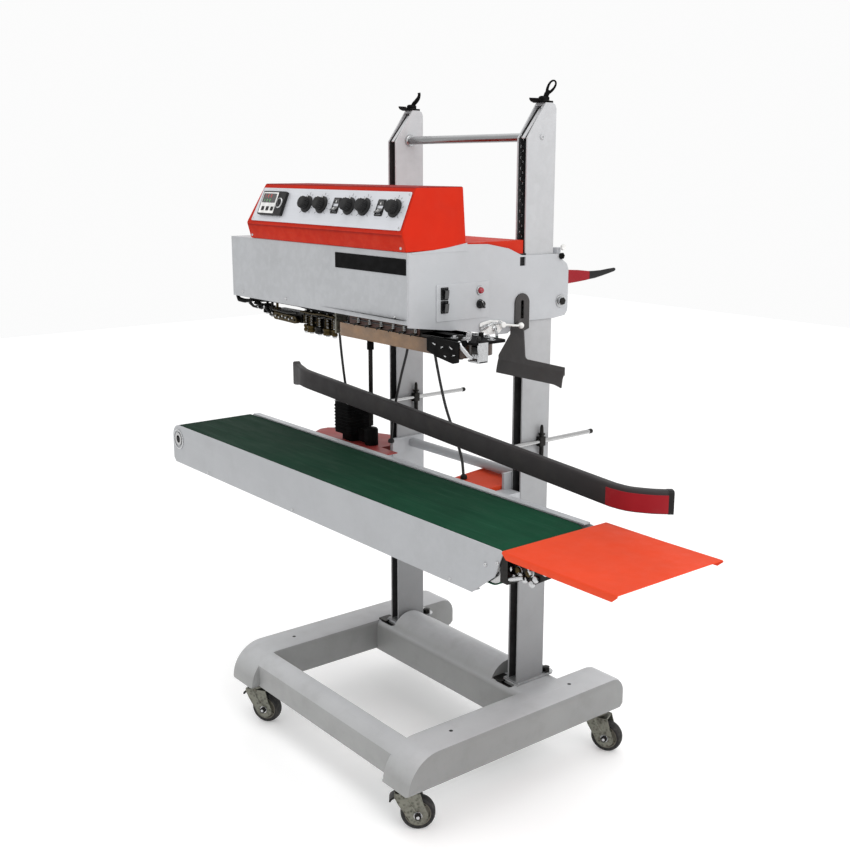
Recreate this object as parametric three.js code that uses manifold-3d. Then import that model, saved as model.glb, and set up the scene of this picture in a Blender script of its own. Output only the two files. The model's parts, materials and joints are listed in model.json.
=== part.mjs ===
// Upright continuous band sealer: a castored base with two open-fronted columns, a height-adjustable
// sealing head, a belt conveyor with an outfeed tray, and a bag guide bar on sliding rods.
// Millimetres. +X runs along the conveyor towards the outfeed tray, -Y faces the operator, +Z is up.
import * as THREE from 'three';
import { mergeVertices } from 'three/addons/utils/BufferGeometryUtils.js';
import Module from 'manifold-3d';

const wasm = await Module();
wasm.setup();

// ---------------------------------------------------------------- driving dimensions
const CENTRE_SHIFT = 7.5;              // moves the whole machine along X onto its origin
const GAP = 0.3;                       // air left between two pieces that rest on each other
const ROUND = 24;                      // segments of a large round piece
const SMALL_ROUND = 14;                // segments of a small round piece

// base
const RUNNER_X = [[-400, -305], [216, 306]];   // the two side runners
const BASE_Y = [-330, 297];
const BASE_Z = [105, 185];
const NOSE_R = 80;                     // rounded front of a runner
const HEEL_R = 40;                     // rounded rear of a runner
const RUNNER_WALL = 4.5;                // folded plate of the base
const RUNNER_EDGE = 9;                 // rounding of the runners' long edges
const FRONT_BEAM_Y = [-308, -268];
const SLOPE_STEPS = 6;                 // segments of the front beam's sloping top
const BACK = { y: 98, z: 160, r: 55 };
const CROSS_BEAM_Y = [40, 175];
const CROSS_EDGE = 18;

// casters
const CASTER_R = 36;
const CASTER_W = 24;
const CASTER_TRAIL = 26;
const CASTER_PLATE_Z = 100;
const CASTERS = [
  { name: 'front_right', x: 245, y: -291, angle: 52 },
  { name: 'rear_right', x: 261, y: 255, angle: 25 },
  { name: 'front_left', x: -349, y: -290, angle: 30 },
  { name: 'rear_left', x: -349, y: 255, angle: 60 },
];

// columns
const COLUMN_X = { left: -269, right: 171 };
const COLUMN_HALF = 15;
const COLUMN_WALL = 3.5;
const COLUMN_Y = [70, 150];
const COLUMN_TOP = 1445;
const COLUMN_BEND_Z = 1375;            // the front edge leans back above this height
const COLUMN_TOP_Y = 120;
const TIE_ROD_Z = 1377;
const TIE_ROD_Y = 110;
const SCREW_Y = 128;
const SCREW_R = 7;
const SCREW_Z = [880, 1456];
const CRANK_TURN = 0.9;                // radians, the way both crank handles lean at rest

// conveyor
const CONV_Y = [-268, -33];
const BELT_Y = [-264, -52];
const BELT_TOP = 660;
const BELT_T = 2;
const DRUM_X = [-754, 468];
const DRUM_LOOP_R = 36;
const CONV_BOTTOM = 559;
const DRUM_Z = BELT_TOP - DRUM_LOOP_R;
// how far each drum boss runs past the frame sides: through them at the infeed, short of them at the outfeed
const DRUM_REACH = [3, -2.5];
const DRUM_BOSS_R = 17;
const SHELF_TOP = 643;
const GEARBOX_FOOT = 21;
const TRAY_X = [507, 775];
const TRAY_Y = [-276, -8];
const TRAY_TOP = 664;

// conveyor drive
const DRIVE = { x: -330, y: 46 };
const DRIVE_R = 5.5;
const DRIVE_Z = [692, 1048];
const SLEEVE_R = 8.5;
const SLEEVE_Z = [882, 1052];

// bag guide bar
const BAR_SLOPE = 3.55;                // degrees, falling towards the outfeed
const BAR_Z = [-45, 0];                // height of the bar below its top edge
const BAR_TOP = 777;                   // top edge at x = 0
const BAR_T = 20;
const ROD_R = 4.75;
const ROD_Y = [-6, 270];
const RODS = [{ name: 'left', x: -246, z: 768 }, { name: 'right', x: 194, z: 741 }];

// head
const HEAD_X = [-486, 190.6];
const CASE_Y = [-239, -92];
const CASE_Z = [1022, 1160];
const SHEET = 2.5;
const SIDE_PLATE_X = [186.6, 190.6];
const REAR_Y = [-90, 64];
const REAR_TOP = 1172;
const DECK_Z = [1024, 1030];
const BOX_LEFT = -391;

// sloping control panel: its lower front edge, and the slope of the face
const PANEL_Y = -251;
const PANEL_Z = 1196;
const PANEL_ANGLE = Math.atan2(85, 36);
const PANEL_LENGTH = 92.3;

// sealing unit
const SEAL_Y = -160;                   // line on which the bag mouth is welded
const BAND_OFFSET = 25.25;             // from the sealing line to the wheel axes
const BAND_LOOP_R = 21.75;
const BAND_T = 1.2;
const BAND_Z = [969, 997];
const WHEEL_X = [-80, 285];
const WHEEL_R = 20.2;
const PRESS_WHEEL = { x: 326, r: 13, y: SEAL_Y - 3.5 - 13 };

// ---------------------------------------------------------------- finishes
const paint = (color, roughness = 0.45) => new THREE.MeshStandardMaterial({ color, roughness, metalness: 0.1 });
const metal = (color, roughness = 0.35) => new THREE.MeshStandardMaterial({ color, roughness, metalness: 0.9 });
const FINISH = {
  greyPaint: paint('#b4b5b6'),
  whitePaint: paint('#cdced0'),
  redPaint: paint('#d43a22'),
  silver: metal('#d4d8da', 0.4),
  steel: metal('#a9abad'),
  darkSteel: metal('#3c3c3e', 0.5),
  zinc: metal('#b7b6ae', 0.45),
  black: paint('#1b1b1c', 0.5),
  rubber: paint('#232325', 0.8),
  belt: paint('#12402c', 0.75),
  band: paint('#7c5a38', 0.55),
  guide: paint('#3b393a', 0.7),
  lamp: paint('#c01818', 0.25),
};

// ---------------------------------------------------------------- shape helpers
function solid(geometry) {
  geometry.deleteAttribute('normal');
  geometry.deleteAttribute('uv');
  const merged = mergeVertices(geometry, 1e-4);
  const mesh = new wasm.Mesh({
    numProp: 3,
    vertProperties: new Float32Array(merged.attributes.position.array),
    triVerts: new Uint32Array(merged.index.array),
  });
  return new wasm.Manifold(mesh);
}

function union(parts) {
  return parts.reduce((whole, piece) => whole.add(piece));
}

function node(name, manifold, material) {
  const data = manifold.getMesh();
  const geometry = new THREE.BufferGeometry();
  geometry.setAttribute('position', new THREE.BufferAttribute(new Float32Array(data.vertProperties), 3));
  geometry.setIndex(new THREE.BufferAttribute(new Uint32Array(data.triVerts), 1));
  geometry.computeVertexNormals();
  const mesh = new THREE.Mesh(geometry, material);
  mesh.name = name;
  return mesh;
}

function box([x0, x1], [y0, y1], [z0, z1]) {
  const geometry = new THREE.BoxGeometry(x1 - x0, y1 - y0, z1 - z0);
  geometry.translate((x0 + x1) / 2, (y0 + y1) / 2, (z0 + z1) / 2);
  return solid(geometry);
}

function shapeOf(points) {
  return points instanceof THREE.Shape ? points : new THREE.Shape(points.map(([a, b]) => new THREE.Vector2(a, b)));
}

function extrude(points, depth, bevel, curveSegments) {
  return new THREE.ExtrudeGeometry(shapeOf(points), {
    depth: depth - 2 * bevel,
    bevelEnabled: bevel > 0,
    bevelThickness: bevel,
    bevelSize: bevel,
    bevelOffset: -bevel,
    bevelSegments: 2,
    curveSegments,
  });
}

// outline in (y, z), pushed along X
function alongX(points, [x0, x1], bevel = 0, curveSegments = 8) {
  const geometry = extrude(points, x1 - x0, bevel, curveSegments);
  const turn = new THREE.Matrix4().makeBasis(
    new THREE.Vector3(0, 1, 0), new THREE.Vector3(0, 0, 1), new THREE.Vector3(1, 0, 0));
  geometry.applyMatrix4(turn);
  geometry.translate(x0 + bevel, 0, 0);
  return solid(geometry);
}

// outline in (x, z), pushed along Y
function alongY(points, [y0, y1], bevel = 0, curveSegments = 8) {
  const geometry = extrude(points, y1 - y0, bevel, curveSegments);
  const turn = new THREE.Matrix4().makeBasis(
    new THREE.Vector3(1, 0, 0), new THREE.Vector3(0, 0, 1), new THREE.Vector3(0, -1, 0));
  geometry.applyMatrix4(turn);
  geometry.translate(0, y1 - bevel, 0);
  return solid(geometry);
}

// outline in (x, y), pushed along Z
function alongZ(points, [z0, z1], bevel = 0, curveSegments = 8) {
  const geometry = extrude(points, z1 - z0, bevel, curveSegments);
  geometry.translate(0, 0, z0 + bevel);
  return solid(geometry);
}

function rodZ(x, y, radius, [z0, z1], segments = SMALL_ROUND) {
  const geometry = new THREE.CylinderGeometry(radius, radius, z1 - z0, segments);
  geometry.rotateX(Math.PI / 2);
  geometry.translate(x, y, (z0 + z1) / 2);
  return solid(geometry);
}

function rodY(x, z, radius, [y0, y1], segments = SMALL_ROUND) {
  const geometry = new THREE.CylinderGeometry(radius, radius, y1 - y0, segments);
  geometry.translate(x, (y0 + y1) / 2, z);
  return solid(geometry);
}

function rodX(y, z, radius, [x0, x1], segments = SMALL_ROUND) {
  const geometry = new THREE.CylinderGeometry(radius, radius, x1 - x0, segments);
  geometry.rotateZ(Math.PI / 2);
  geometry.translate((x0 + x1) / 2, y, z);
  return solid(geometry);
}

function tube(points, radius, steps, sides = 4) {
  const circle = new THREE.Shape();
  circle.absarc(0, 0, radius, 0, 2 * Math.PI);
  const path = new THREE.CatmullRomCurve3(points.map((p) => new THREE.Vector3(...p)));
  const geometry = new THREE.ExtrudeGeometry(circle, {
    steps, bevelEnabled: false, extrudePath: path, curveSegments: sides,
  });
  return solid(geometry);
}

// closed loop round two equal circles on one line, in the outline plane
function stadium(x0, x1, centre, radius) {
  const shape = new THREE.Shape();
  shape.absarc(x1, centre, radius, -Math.PI / 2, Math.PI / 2, false);
  shape.absarc(x0, centre, radius, Math.PI / 2, (3 * Math.PI) / 2, false);
  return shape;
}

// ---------------------------------------------------------------- base
function buildBase() {
  const [y0, y1] = BASE_Y;
  const [z0, z1] = BASE_Z;
  const side = new THREE.Shape();
  side.absarc(y0 + NOSE_R, z1 - NOSE_R, NOSE_R, Math.PI, Math.PI / 2, true);
  side.absarc(y1 - HEEL_R, z1 - HEEL_R, HEEL_R, Math.PI / 2, 0, true);
  side.lineTo(y1, z0 + 10);
  side.lineTo(y1 - 10, z0);
  const parts = RUNNER_X.map((span) => alongX(side, span, RUNNER_EDGE, 6));

  const beamX = [RUNNER_X[0][1] - 30, RUNNER_X[1][0] + 30];
  // the front beam's sloping top carries on the line of the runner noses
  const [f0, f1] = FRONT_BEAM_Y;
  const noseAt = (y, inset) => {
    const reach = NOSE_R - inset;
    const across = y - (y0 + NOSE_R);
    return z1 - NOSE_R + Math.sqrt(reach * reach - across * across);
  };
  const slope = (from, to, inset) => {
    const points = [];
    for (let step = 0; step <= SLOPE_STEPS; step += 1) {
      const y = from + ((to - from) * step) / SLOPE_STEPS;
      points.push([y, noseAt(y, inset)]);
    }
    return points;
  };
  parts.push(alongX([[f0, z0 + 1], ...slope(f0, f1, 1), [f1, z0 + 1]], beamX));
  const [c0, c1] = CROSS_BEAM_Y;
  const cross = new THREE.Shape();
  cross.moveTo(c0, z0 + 1);
  cross.lineTo(c0, z1 - 1 - CROSS_EDGE);
  cross.absarc(c0 + CROSS_EDGE, z1 - 1 - CROSS_EDGE, CROSS_EDGE, Math.PI, Math.PI / 2, true);
  cross.absarc(c1 - CROSS_EDGE, z1 - 1 - CROSS_EDGE, CROSS_EDGE, Math.PI / 2, 0, true);
  cross.lineTo(c1, z0 + 1);
  parts.push(alongX(cross, beamX, 0, 4));

  const frameSolid = union(parts);
  // the runners and beams are folded from plate, open underneath between the casters
  const inside = new THREE.Shape();
  const noseInside = NOSE_R - RUNNER_WALL;
  const floorAngle = Math.PI - Math.asin((z0 + RUNNER_WALL - (z1 - NOSE_R)) / noseInside);
  inside.absarc(y0 + NOSE_R, z1 - NOSE_R, noseInside, floorAngle, Math.PI / 2, true);
  inside.absarc(y1 - HEEL_R, z1 - HEEL_R, HEEL_R - RUNNER_WALL, Math.PI / 2, 0, true);
  inside.lineTo(y1 - RUNNER_WALL, z0 + RUNNER_WALL);
  const hollows = RUNNER_X.map(([x0, x1]) => alongX(inside, [x0 + RUNNER_WALL, x1 - RUNNER_WALL], 0, 6));
  for (const [x0, x1] of RUNNER_X) {
    hollows.push(box([x0 + RUNNER_WALL, x1 - RUNNER_WALL], [y0 + 90, y1 - 90], [z0 - 5, z1 - RUNNER_WALL]));
  }
  const frontInside = [[f0 + 5, z0 - 5], ...slope(f0 + 5, f1 - 5, 7), [f1 - 5, z0 - 5]];
  hollows.push(alongX(frontInside, [beamX[0] + 32, beamX[1] - 32]));
  hollows.push(box([beamX[0] + 32, beamX[1] - 32], [CROSS_BEAM_Y[0] + 6, CROSS_BEAM_Y[1] - 6], [z0 - 5, z1 - 14]));
  const folded = hollows.reduce((whole, hollow) => whole.subtract(hollow), frameSolid);
  // round-backed cover on the rear beam between the columns, hollow like the beam
  const backX = [COLUMN_X.left + 25, 126];
  const back = rodX(BACK.y, BACK.z, BACK.r, backX, ROUND)
    .subtract(box([backX[0] - 5, backX[1] + 5], [0, 200], [z0 - 20, z1 - 8]));
  const backInside = rodX(BACK.y, BACK.z, BACK.r - RUNNER_WALL, [backX[0] + 4, backX[1] - 4], ROUND)
    .subtract(box([backX[0], backX[1]], [0, 200], [z0 - 20, z1 - 20]));
  const fittings = [union([folded, back]).subtract(backInside)];

  // caster plates under the runners
  for (const caster of CASTERS) {
    fittings.push(box([caster.x - 32, caster.x + 32], [caster.y - 34, caster.y + 34], [CASTER_PLATE_Z, z0 + 1]));
  }
  let frame = union(fittings);

  // two plugged screw holes in each runner, and a slot in front of each column foot
  for (const x of [259, -349]) {
    frame = frame.subtract(rodZ(x, -182, 4.5, [z1 - 5, z1 + 5]));
    frame = frame.subtract(rodZ(x, 163, 4.5, [z1 - 5, z1 + 5]));
  }
  for (const x of Object.values(COLUMN_X)) {
    const slot = stadium(x - 29, x + 9, 57.2, 8);
    frame = frame.subtract(alongZ(slot, [z1 - 11, z1 + 5]));
  }
  return frame;
}

// ---------------------------------------------------------------- columns
function buildColumn(x) {
  const [y0, y1] = COLUMN_Y;
  const floor = BASE_Z[1] - 1 + GAP;
  const profile = [
    [y0, floor], [y1, floor], [y1, COLUMN_TOP - 12], [y1 - 4, COLUMN_TOP - 3], [y1 - 12, COLUMN_TOP],
    [COLUMN_TOP_Y, COLUMN_TOP], [y0, COLUMN_BEND_Z],
  ];
  let column = alongX(profile, [x - COLUMN_HALF, x + COLUMN_HALF]);
  const inside = COLUMN_HALF - COLUMN_WALL;
  const hollow = box([x - inside, x + inside], [y0 - 60, y1 - COLUMN_WALL], [floor + 6, COLUMN_TOP - 6]);
  column = column.subtract(hollow);

  const flange = box([x - 24, x + 24], [y0 - 4, y1 + 22], [floor, floor + 6]);
  const foot = [flange];
  for (const dx of [-1, 1]) {
    foot.push(rodZ(x + dx * 14, y1 + 12, 8, [floor + 5, floor + 14], 6));
  }
  column = union([column, ...foot]);

  // clearance for the lift screw, and the cut where the front strip meets the foot
  column = column.subtract(rodZ(x, SCREW_Y, SCREW_R + 1.2, [COLUMN_TOP - 20, COLUMN_TOP + 5]));
  return column;
}

function buildLiftScrew(x, loopTurn) {
  const parts = [
    rodZ(0, 0, SCREW_R, SCREW_Z),
    rodZ(0, 0, 11, [COLUMN_TOP + GAP, COLUMN_TOP + 6]),
  ];
  const lean = new THREE.Vector3(0.62, 0, 1).normalize();
  const arm = new THREE.CylinderGeometry(3.6, 4.2, 26, 10);
  arm.rotateX(Math.PI / 2);
  arm.translate(0, 0, 11);
  const armTurn = new THREE.Quaternion().setFromUnitVectors(new THREE.Vector3(0, 0, 1), lean);
  arm.applyQuaternion(armTurn);
  arm.translate(0, 0, SCREW_Z[1] - 3);
  parts.push(solid(arm));

  // open loop grip at the end of the crank arm
  const loop = new THREE.TorusGeometry(10.5, 2.6, 6, 18);
  loop.scale(1, 1.45, 1);
  loop.rotateX(Math.PI / 2);
  loop.rotateZ(loopTurn);
  loop.translate(0, 0, 34);
  loop.applyQuaternion(armTurn);
  loop.translate(0, 0, SCREW_Z[1] - 9);
  parts.push(solid(loop));
  const screw = node('', union(parts), FINISH.steel);
  screw.position.set(x, SCREW_Y, 0);
  screw.rotation.z = CRANK_TURN;
  return screw;
}

// ---------------------------------------------------------------- casters
function buildFork() {
  const head = rodZ(0, 0, 25, [90, CASTER_PLATE_Z - GAP], ROUND);
  const neck = rodZ(0, 0, 18, [84, 91], ROUND);
  const cheek = new THREE.Shape();
  cheek.moveTo(-20, 86);
  cheek.lineTo(24, 86);
  cheek.lineTo(CASTER_TRAIL + 11, 46);
  cheek.absarc(CASTER_TRAIL, CASTER_R, 12, 0.6, -Math.PI - 0.35, true);
  const parts = [head, neck];
  const crown = box([-20, 24], [-18, 18], [82, 86]);
  parts.push(crown);
  for (const side of [-1, 1]) {
    const from = side < 0 ? -18 : 15;
    parts.push(alongY(cheek, [from, from + 3], 0, 6));
  }
  parts.push(rodY(CASTER_TRAIL, CASTER_R, 5, [-21, 21]));
  return union(parts);
}

function buildWheel() {
  const r = CASTER_R;
  const w = CASTER_W / 2;
  const bore = 5.08;
  const outline = [
    [bore, -w - 1.5], [12, -w - 1.5], [12, -w + 3], [r - 10, -w + 3], [r - 10, -w], [r - 4, -w], [r, -w + 5],
    [r, w - 5], [r - 4, w], [r - 10, w], [r - 10, w - 3], [12, w - 3], [12, w + 1.5], [bore, w + 1.5],
    [bore, -w - 1.5],
  ];
  const lathe = new THREE.LatheGeometry(outline.map(([a, b]) => new THREE.Vector2(a, b)), 28);
  return solid(lathe);
}

// ---------------------------------------------------------------- conveyor
function buildConveyorFrame() {
  const side = new THREE.Shape();
  const arcR = DRUM_LOOP_R - 2;
  side.moveTo(DRUM_X[1] + 26, BELT_TOP);
  side.lineTo(DRUM_X[0], BELT_TOP);
  side.absarc(DRUM_X[0], DRUM_Z + 2, arcR, Math.PI / 2, Math.PI, false);
  side.lineTo(DRUM_X[0] - arcR, CONV_BOTTOM + 10);
  side.lineTo(DRUM_X[0] - arcR + 10, CONV_BOTTOM);
  side.lineTo(419, CONV_BOTTOM);
  side.lineTo(480, 606);
  side.lineTo(DRUM_X[1] + 34, BELT_TOP - 3);
  const [y0, y1] = CONV_Y;
  const parts = [
    alongY(side, [y0, y0 + 2]),
    alongY(side, [y1 - 2, y1]),
    // bed under the belt, and the raised rim along the back
    box([DRUM_X[0] + 44, DRUM_X[1] - 44], [y0 + 1, y1 - 1], [BELT_TOP - BELT_T - 6, BELT_TOP - BELT_T - GAP]),
    box([DRUM_X[0] + 10, DRUM_X[1] + 20], [BELT_Y[1] + 2, y1], [BELT_TOP + 0.5, BELT_TOP + 3.5]),
    box([DRUM_X[0] + 10, DRUM_X[1] + 20], [y1 - 2, y1], [BELT_TOP - 5, BELT_TOP + 2]),
    // folded lower edges
    box([DRUM_X[0] - arcR + 12, 417], [y0, y0 + 22], [CONV_BOTTOM, CONV_BOTTOM + 2]),
    box([DRUM_X[0] - arcR + 12, 417], [y1 - 22, y1], [CONV_BOTTOM, CONV_BOTTOM + 2]),
  ];
  for (const x of [-600, -200, 200]) {
    parts.push(box([x - 15, x + 15], [y0 + 1, y1 - 1], [CONV_BOTTOM, CONV_BOTTOM + 18]));
  }

  // two arms that carry the conveyor on the columns, with a tube between them
  for (const [key, inner] of [['left', 1], ['right', -1]]) {
    const x = COLUMN_X[key];
    parts.push(box([x - 20, x + 20], [y1 - 1, COLUMN_Y[0] - 6], [586, 636]));
    const cheekX = x + inner * (COLUMN_HALF + 0.5);
    const span = inner > 0 ? [cheekX, cheekX + 7] : [cheekX - 7, cheekX];
    parts.push(box(span, [COLUMN_Y[0] - 20, COLUMN_Y[1] - 4], [586, 672]));
  }
  const tubeX = [COLUMN_X.left + COLUMN_HALF + 4, COLUMN_X.right - COLUMN_HALF - 4];
  parts.push(rodX(110, 656, 11, tubeX, ROUND));
  let frame = union(parts);
  return frame.subtract(rodY(DRUM_X[0], DRUM_Z, DRUM_BOSS_R + 0.6, [y0 - 5, y1 + 5], ROUND));
}

// the infeed drum's bosses show through the side plates, the outfeed drum's stop inside them
function buildDrum(reach) {
  const inner = DRUM_LOOP_R - BELT_T - 0.4;
  const boss = [CONV_Y[0] - reach, CONV_Y[1] + reach];
  const parts = [
    rodY(0, 0, inner, [BELT_Y[0] + 2, BELT_Y[1] - 2], ROUND),
    rodY(0, 0, DRUM_BOSS_R, boss, ROUND),
  ];
  let drum = union(parts);
  if (reach > 0) {
    drum = drum.subtract(rodY(0, 0, 10, [boss[0] - 3, boss[0] + 15], ROUND));
    drum = drum.subtract(rodY(0, 0, 10, [boss[1] - 15, boss[1] + 3], ROUND));
  }
  return drum;
}

function buildBelt() {
  const outer = alongY(stadium(DRUM_X[0], DRUM_X[1], DRUM_Z, DRUM_LOOP_R), BELT_Y, 0, 12);
  const inner = alongY(stadium(DRUM_X[0], DRUM_X[1], DRUM_Z, DRUM_LOOP_R - BELT_T),
    [BELT_Y[0] - 5, BELT_Y[1] + 5], 0, 12);
  return outer.subtract(inner);
}

function buildTray() {
  const [x0, x1] = TRAY_X;
  const [y0, y1] = TRAY_Y;
  let tray = box([x0, x1], [y0, y1], [TRAY_TOP - 14, TRAY_TOP]);
  tray = tray.subtract(box([x0 - 5, x1 + 5], [y0 + 2, y1 - 2], [TRAY_TOP - 20, TRAY_TOP - 2]));
  // bracket under the tray that bolts to the end of the conveyor
  const outline = [[x0 + 1, 612], [x0 + 60, 614], [x0 + 130, TRAY_TOP - 14], [x0 + 130, TRAY_TOP - 1],
    [x0 + 1, TRAY_TOP - 1]];
  const cheeks = [[y0 + 24, y0 + 27], [y1 - 47, y1 - 44]].map((span) => alongY(outline, span));
  const strap = box([x0 + 1, x0 + 4], [y0 + 24, y1 - 44], [614, 640]);
  return union([tray, ...cheeks, strap]);
}

// sheet with a turned-down lip; beyond the cut line only the flat sheet goes on
function buildShelf(plan, cutX) {
  const middle = plan.reduce((sum, [x, y]) => [sum[0] + x / plan.length, sum[1] + y / plan.length], [0, 0]);
  const inset = plan.map(([x, y]) => [middle[0] + (x - middle[0]) * 0.98, middle[1] + (y - middle[1]) * 0.98]);
  const shelf = alongZ(plan, [SHELF_TOP - 24, SHELF_TOP]);
  const under = alongZ(inset, [SHELF_TOP - 40, SHELF_TOP - 2.5]);
  return shelf.subtract(under).subtract(box([cutX, cutX + 200], [-60, 200], [SHELF_TOP - 40, SHELF_TOP - 2.5]));
}

const SHELF_FRONT = CONV_Y[1] + 0.5;
const SHELF_PLANS = {
  left: [[-225, SHELF_FRONT], [-225, 48], [-291, 48], [-291, 70], [-302, 108], [-336, 146], [-362, 150],
    [-390, 144], [-540, 82], [-554, 66], [-554, 42], [-540, 20], [-500, SHELF_FRONT]],
  right: [[40, SHELF_FRONT], [146, SHELF_FRONT], [146, 72], [78, 156], [58, 161], [28, 156], [12, 140],
    [12, 110]],
};

function buildGearbox() {
  const z0 = SHELF_TOP + GAP;
  return union([
    box([-428, -382], [24, 74], [z0, z0 + GEARBOX_FOOT]),
    box([-438, -372], [8, 80], [z0 + GEARBOX_FOOT - 1, 742]),
    box([-430, -380], [16, 72], [741, 747]),
    box([-373, -330], [30, 62], [z0, 682]),
    rodZ(DRIVE.x, DRIVE.y, 17, [z0, 688], ROUND),
  ]);
}

// ---------------------------------------------------------------- bag guide bar
function buildGuideBar() {
  // plan outline: straight along the belt, both ends bent away from the operator
  const front = [[-616, 0], [-527, -22], [-300, -22], [526, -22], [560, -12], [590, 14], [619, 48]];
  const back = [[602, 60], [576, 28], [548, 6], [524, -2], [-300, -2], [-525, -2], [-612, 20]];
  const bar = alongZ([...front, ...back], BAR_Z);
  return bar;
}

// ---------------------------------------------------------------- head
function buildCasing() {
  const [x0, x1] = HEAD_X;
  const [y0, y1] = CASE_Y;
  const [z0, z1] = CASE_Z;
  const shell = box([x0, x1], [y0, y1], [z0, z1]);
  const hollow = box([x0 + SHEET, x1 - SHEET], [y0 + SHEET, y1 + 10], [z0 - 10, z1 - SHEET]);
  const sideOpening = box([x1 - 10, x1 + 10], [-171.6, y1 + 10], [z0 - 10, z1 + 10]);
  return shell.subtract(hollow).subtract(sideOpening);
}

function buildSidePlate() {
  const outline = [
    [-171, 1017], [-62, 994], [0, 984], [20, 984], [50, 1002], [50, 1056], [54, 1062], [60, 1064], [65, 1062],
    [68, 1056], [68, 1006], [151, 1005], [185, 1009], [192, 1018], [193, 1026], [193, 1106], [188, 1118],
    [176, 1126], [160, 1140], [70, 1141], [56, 1142], [20, 1157], [-36, 1168], [-91, 1170], [-91, 1160], [-171, 1160],
  ];
  let plate = alongX(outline, SIDE_PLATE_X);
  const face = SIDE_PLATE_X[1];
  // raised switch plate, and the heads of the rear clamp bolts
  plate = union([
    plate,
    box([face - 1, face + 1.5], [-169, -34], [1023, 1095]),
    rodX(171, 1040, 9, [face - 1, face + 5], 6),
  ]);
  plate = plate.subtract(box([face - 10, face + 10], [52, 67], [1120, 1138]));
  for (const z of [1077, 1051]) {
    plate = plate.subtract(box([face - 10, face + 10], [-158.5, -139.5], [z - 11.5, z + 11.5]));
  }
  return plate;
}

function buildHeadFrame() {
  const plateX = [-458, 183];
  const parts = [
    box([-470, 184], [-234, REAR_Y[1] - 2], DECK_Z),
    box(plateX, [55, 61], [DECK_Z[0] + 1, 1166]),
  ];
  // slide blocks that clasp the columns, each with a nut on the lift screw
  const cheekY = [56, COLUMN_Y[1] + 10];
  const blockZ = [1015, 1138];
  for (const key of ['left', 'right']) {
    const x = COLUMN_X[key];
    const reach = COLUMN_HALF + 0.6;
    parts.push(box([x - reach - 8, x - reach], cheekY, blockZ));
    const strapEnd = key === 'left' ? x + reach + 8 : SIDE_PLATE_X[0] - GAP;
    parts.push(box([x - reach - 8, strapEnd], [COLUMN_Y[1] + 0.6, COLUMN_Y[1] + 10], blockZ));
    if (key === 'left') {
      parts.push(box([x + reach, x + reach + 8], cheekY, blockZ));
    }
    parts.push(box([x - 10, x + 10], [58, 141], [1060, 1100]));
  }
  // lug and lock screw on the rear of the right-hand block
  const x = COLUMN_X.right;
  parts.push(box([x - 12, x - 4], [155, 186], [1078, 1098]));
  parts.push(box([x - 12, x + 14], [155, 180], [1112, 1124]));
  parts.push(rodZ(x + 4, 169, 9, [1123, 1136]));
  parts.push(rodZ(x + 4, 169, 10.5, [1135, 1152], 6));
  let frame = union(parts);
  for (const key of ['left', 'right']) {
    frame = frame.subtract(rodZ(COLUMN_X[key], SCREW_Y, SCREW_R + 0.5, [1040, 1120]));
  }
  frame = frame.subtract(rodZ(DRIVE.x, DRIVE.y, SLEEVE_R + 0.6, [DECK_Z[0] - 5, DECK_Z[1] + 5]));
  return frame;
}

function buildRearCover() {
  const [y0, y1] = REAR_Y;
  const span = [-461, 186];
  const shell = box(span, [y0, y1], [CASE_Z[0] + 9, REAR_TOP]);
  const hollow = box([span[0] + 2, span[1] - 2], [y0 + 2, y1 + 10], [CASE_Z[0] - 10, REAR_TOP - 2]);
  return shell.subtract(hollow);
}

function buildControlBox() {
  const floor = CASE_Z[1] + GAP;
  const top = PANEL_Z + 85;
  const outer = [[-241, floor], [-250.2, PANEL_Z - 3], [PANEL_Y, PANEL_Z], [-215, top], [-99, top], [-92, floor]];
  const inner = [[-238, floor - 10], [-247.4, PANEL_Z], [-213.6, top - SHEET], [-101.5, top - SHEET],
    [-94.8, floor - 10]];
  let shell = alongX(outer, [BOX_LEFT, HEAD_X[1]]);
  shell = shell.subtract(alongX(inner, [BOX_LEFT + 34, HEAD_X[1] - SHEET]));
  // the left end leans in above the fold line
  const lean = alongY([[BOX_LEFT - 20, PANEL_Z], [BOX_LEFT, PANEL_Z], [BOX_LEFT + 29, top + 5],
    [BOX_LEFT - 20, top + 5]], [-300, -50]);
  return shell.subtract(lean);
}

// parts below are laid out on the sloping panel: x across, y up the slope, z out of the face
function onPanel() {
  const group = new THREE.Group();
  group.name = 'panel_group';
  group.position.set(0, PANEL_Y, PANEL_Z);
  group.rotation.x = PANEL_ANGLE;
  return group;
}

const PANEL_T = 1.5;
const KNOB_Y = 48;
const KNOBS = [-162, -105, -5, 47, 147];
const ROCKERS = [-54, 99];
const ROCKER_REST = (-8 * Math.PI) / 180;

function buildPanelPlate() {
  let plate = alongZ([[-371, 5], [183, 5], [183, 82], [-358, 82]], [GAP, GAP + PANEL_T]);
  for (const x of ROCKERS) {
    plate = plate.subtract(box([x - 13, x + 13], [KNOB_Y - 17, KNOB_Y + 17], [-5, 5]));
  }
  return plate;
}

function cutRockers(shell) {
  const holes = ROCKERS.map((x) => {
    const hole = new THREE.BoxGeometry(27, 35, 20);
    hole.translate(x, KNOB_Y, 0);
    hole.rotateX(PANEL_ANGLE);
    hole.translate(0, PANEL_Y, PANEL_Z);
    return solid(hole);
  });
  return holes.reduce((whole, hole) => whole.subtract(hole), shell);
}

function buildKnob() {
  const outline = [[0, 0], [18.5, 0], [18.5, 3], [17, 4.5], [13.5, 5.5], [12.6, 17], [11.5, 18.5], [0, 18.5]];
  const lathe = new THREE.LatheGeometry(outline.map(([a, b]) => new THREE.Vector2(a, b)), 20);
  lathe.rotateX(Math.PI / 2);
  const grip = box([-3.2, 3.2], [-16.5, 16.5], [4, 18.5]);
  return union([solid(lathe), grip]);
}

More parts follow.
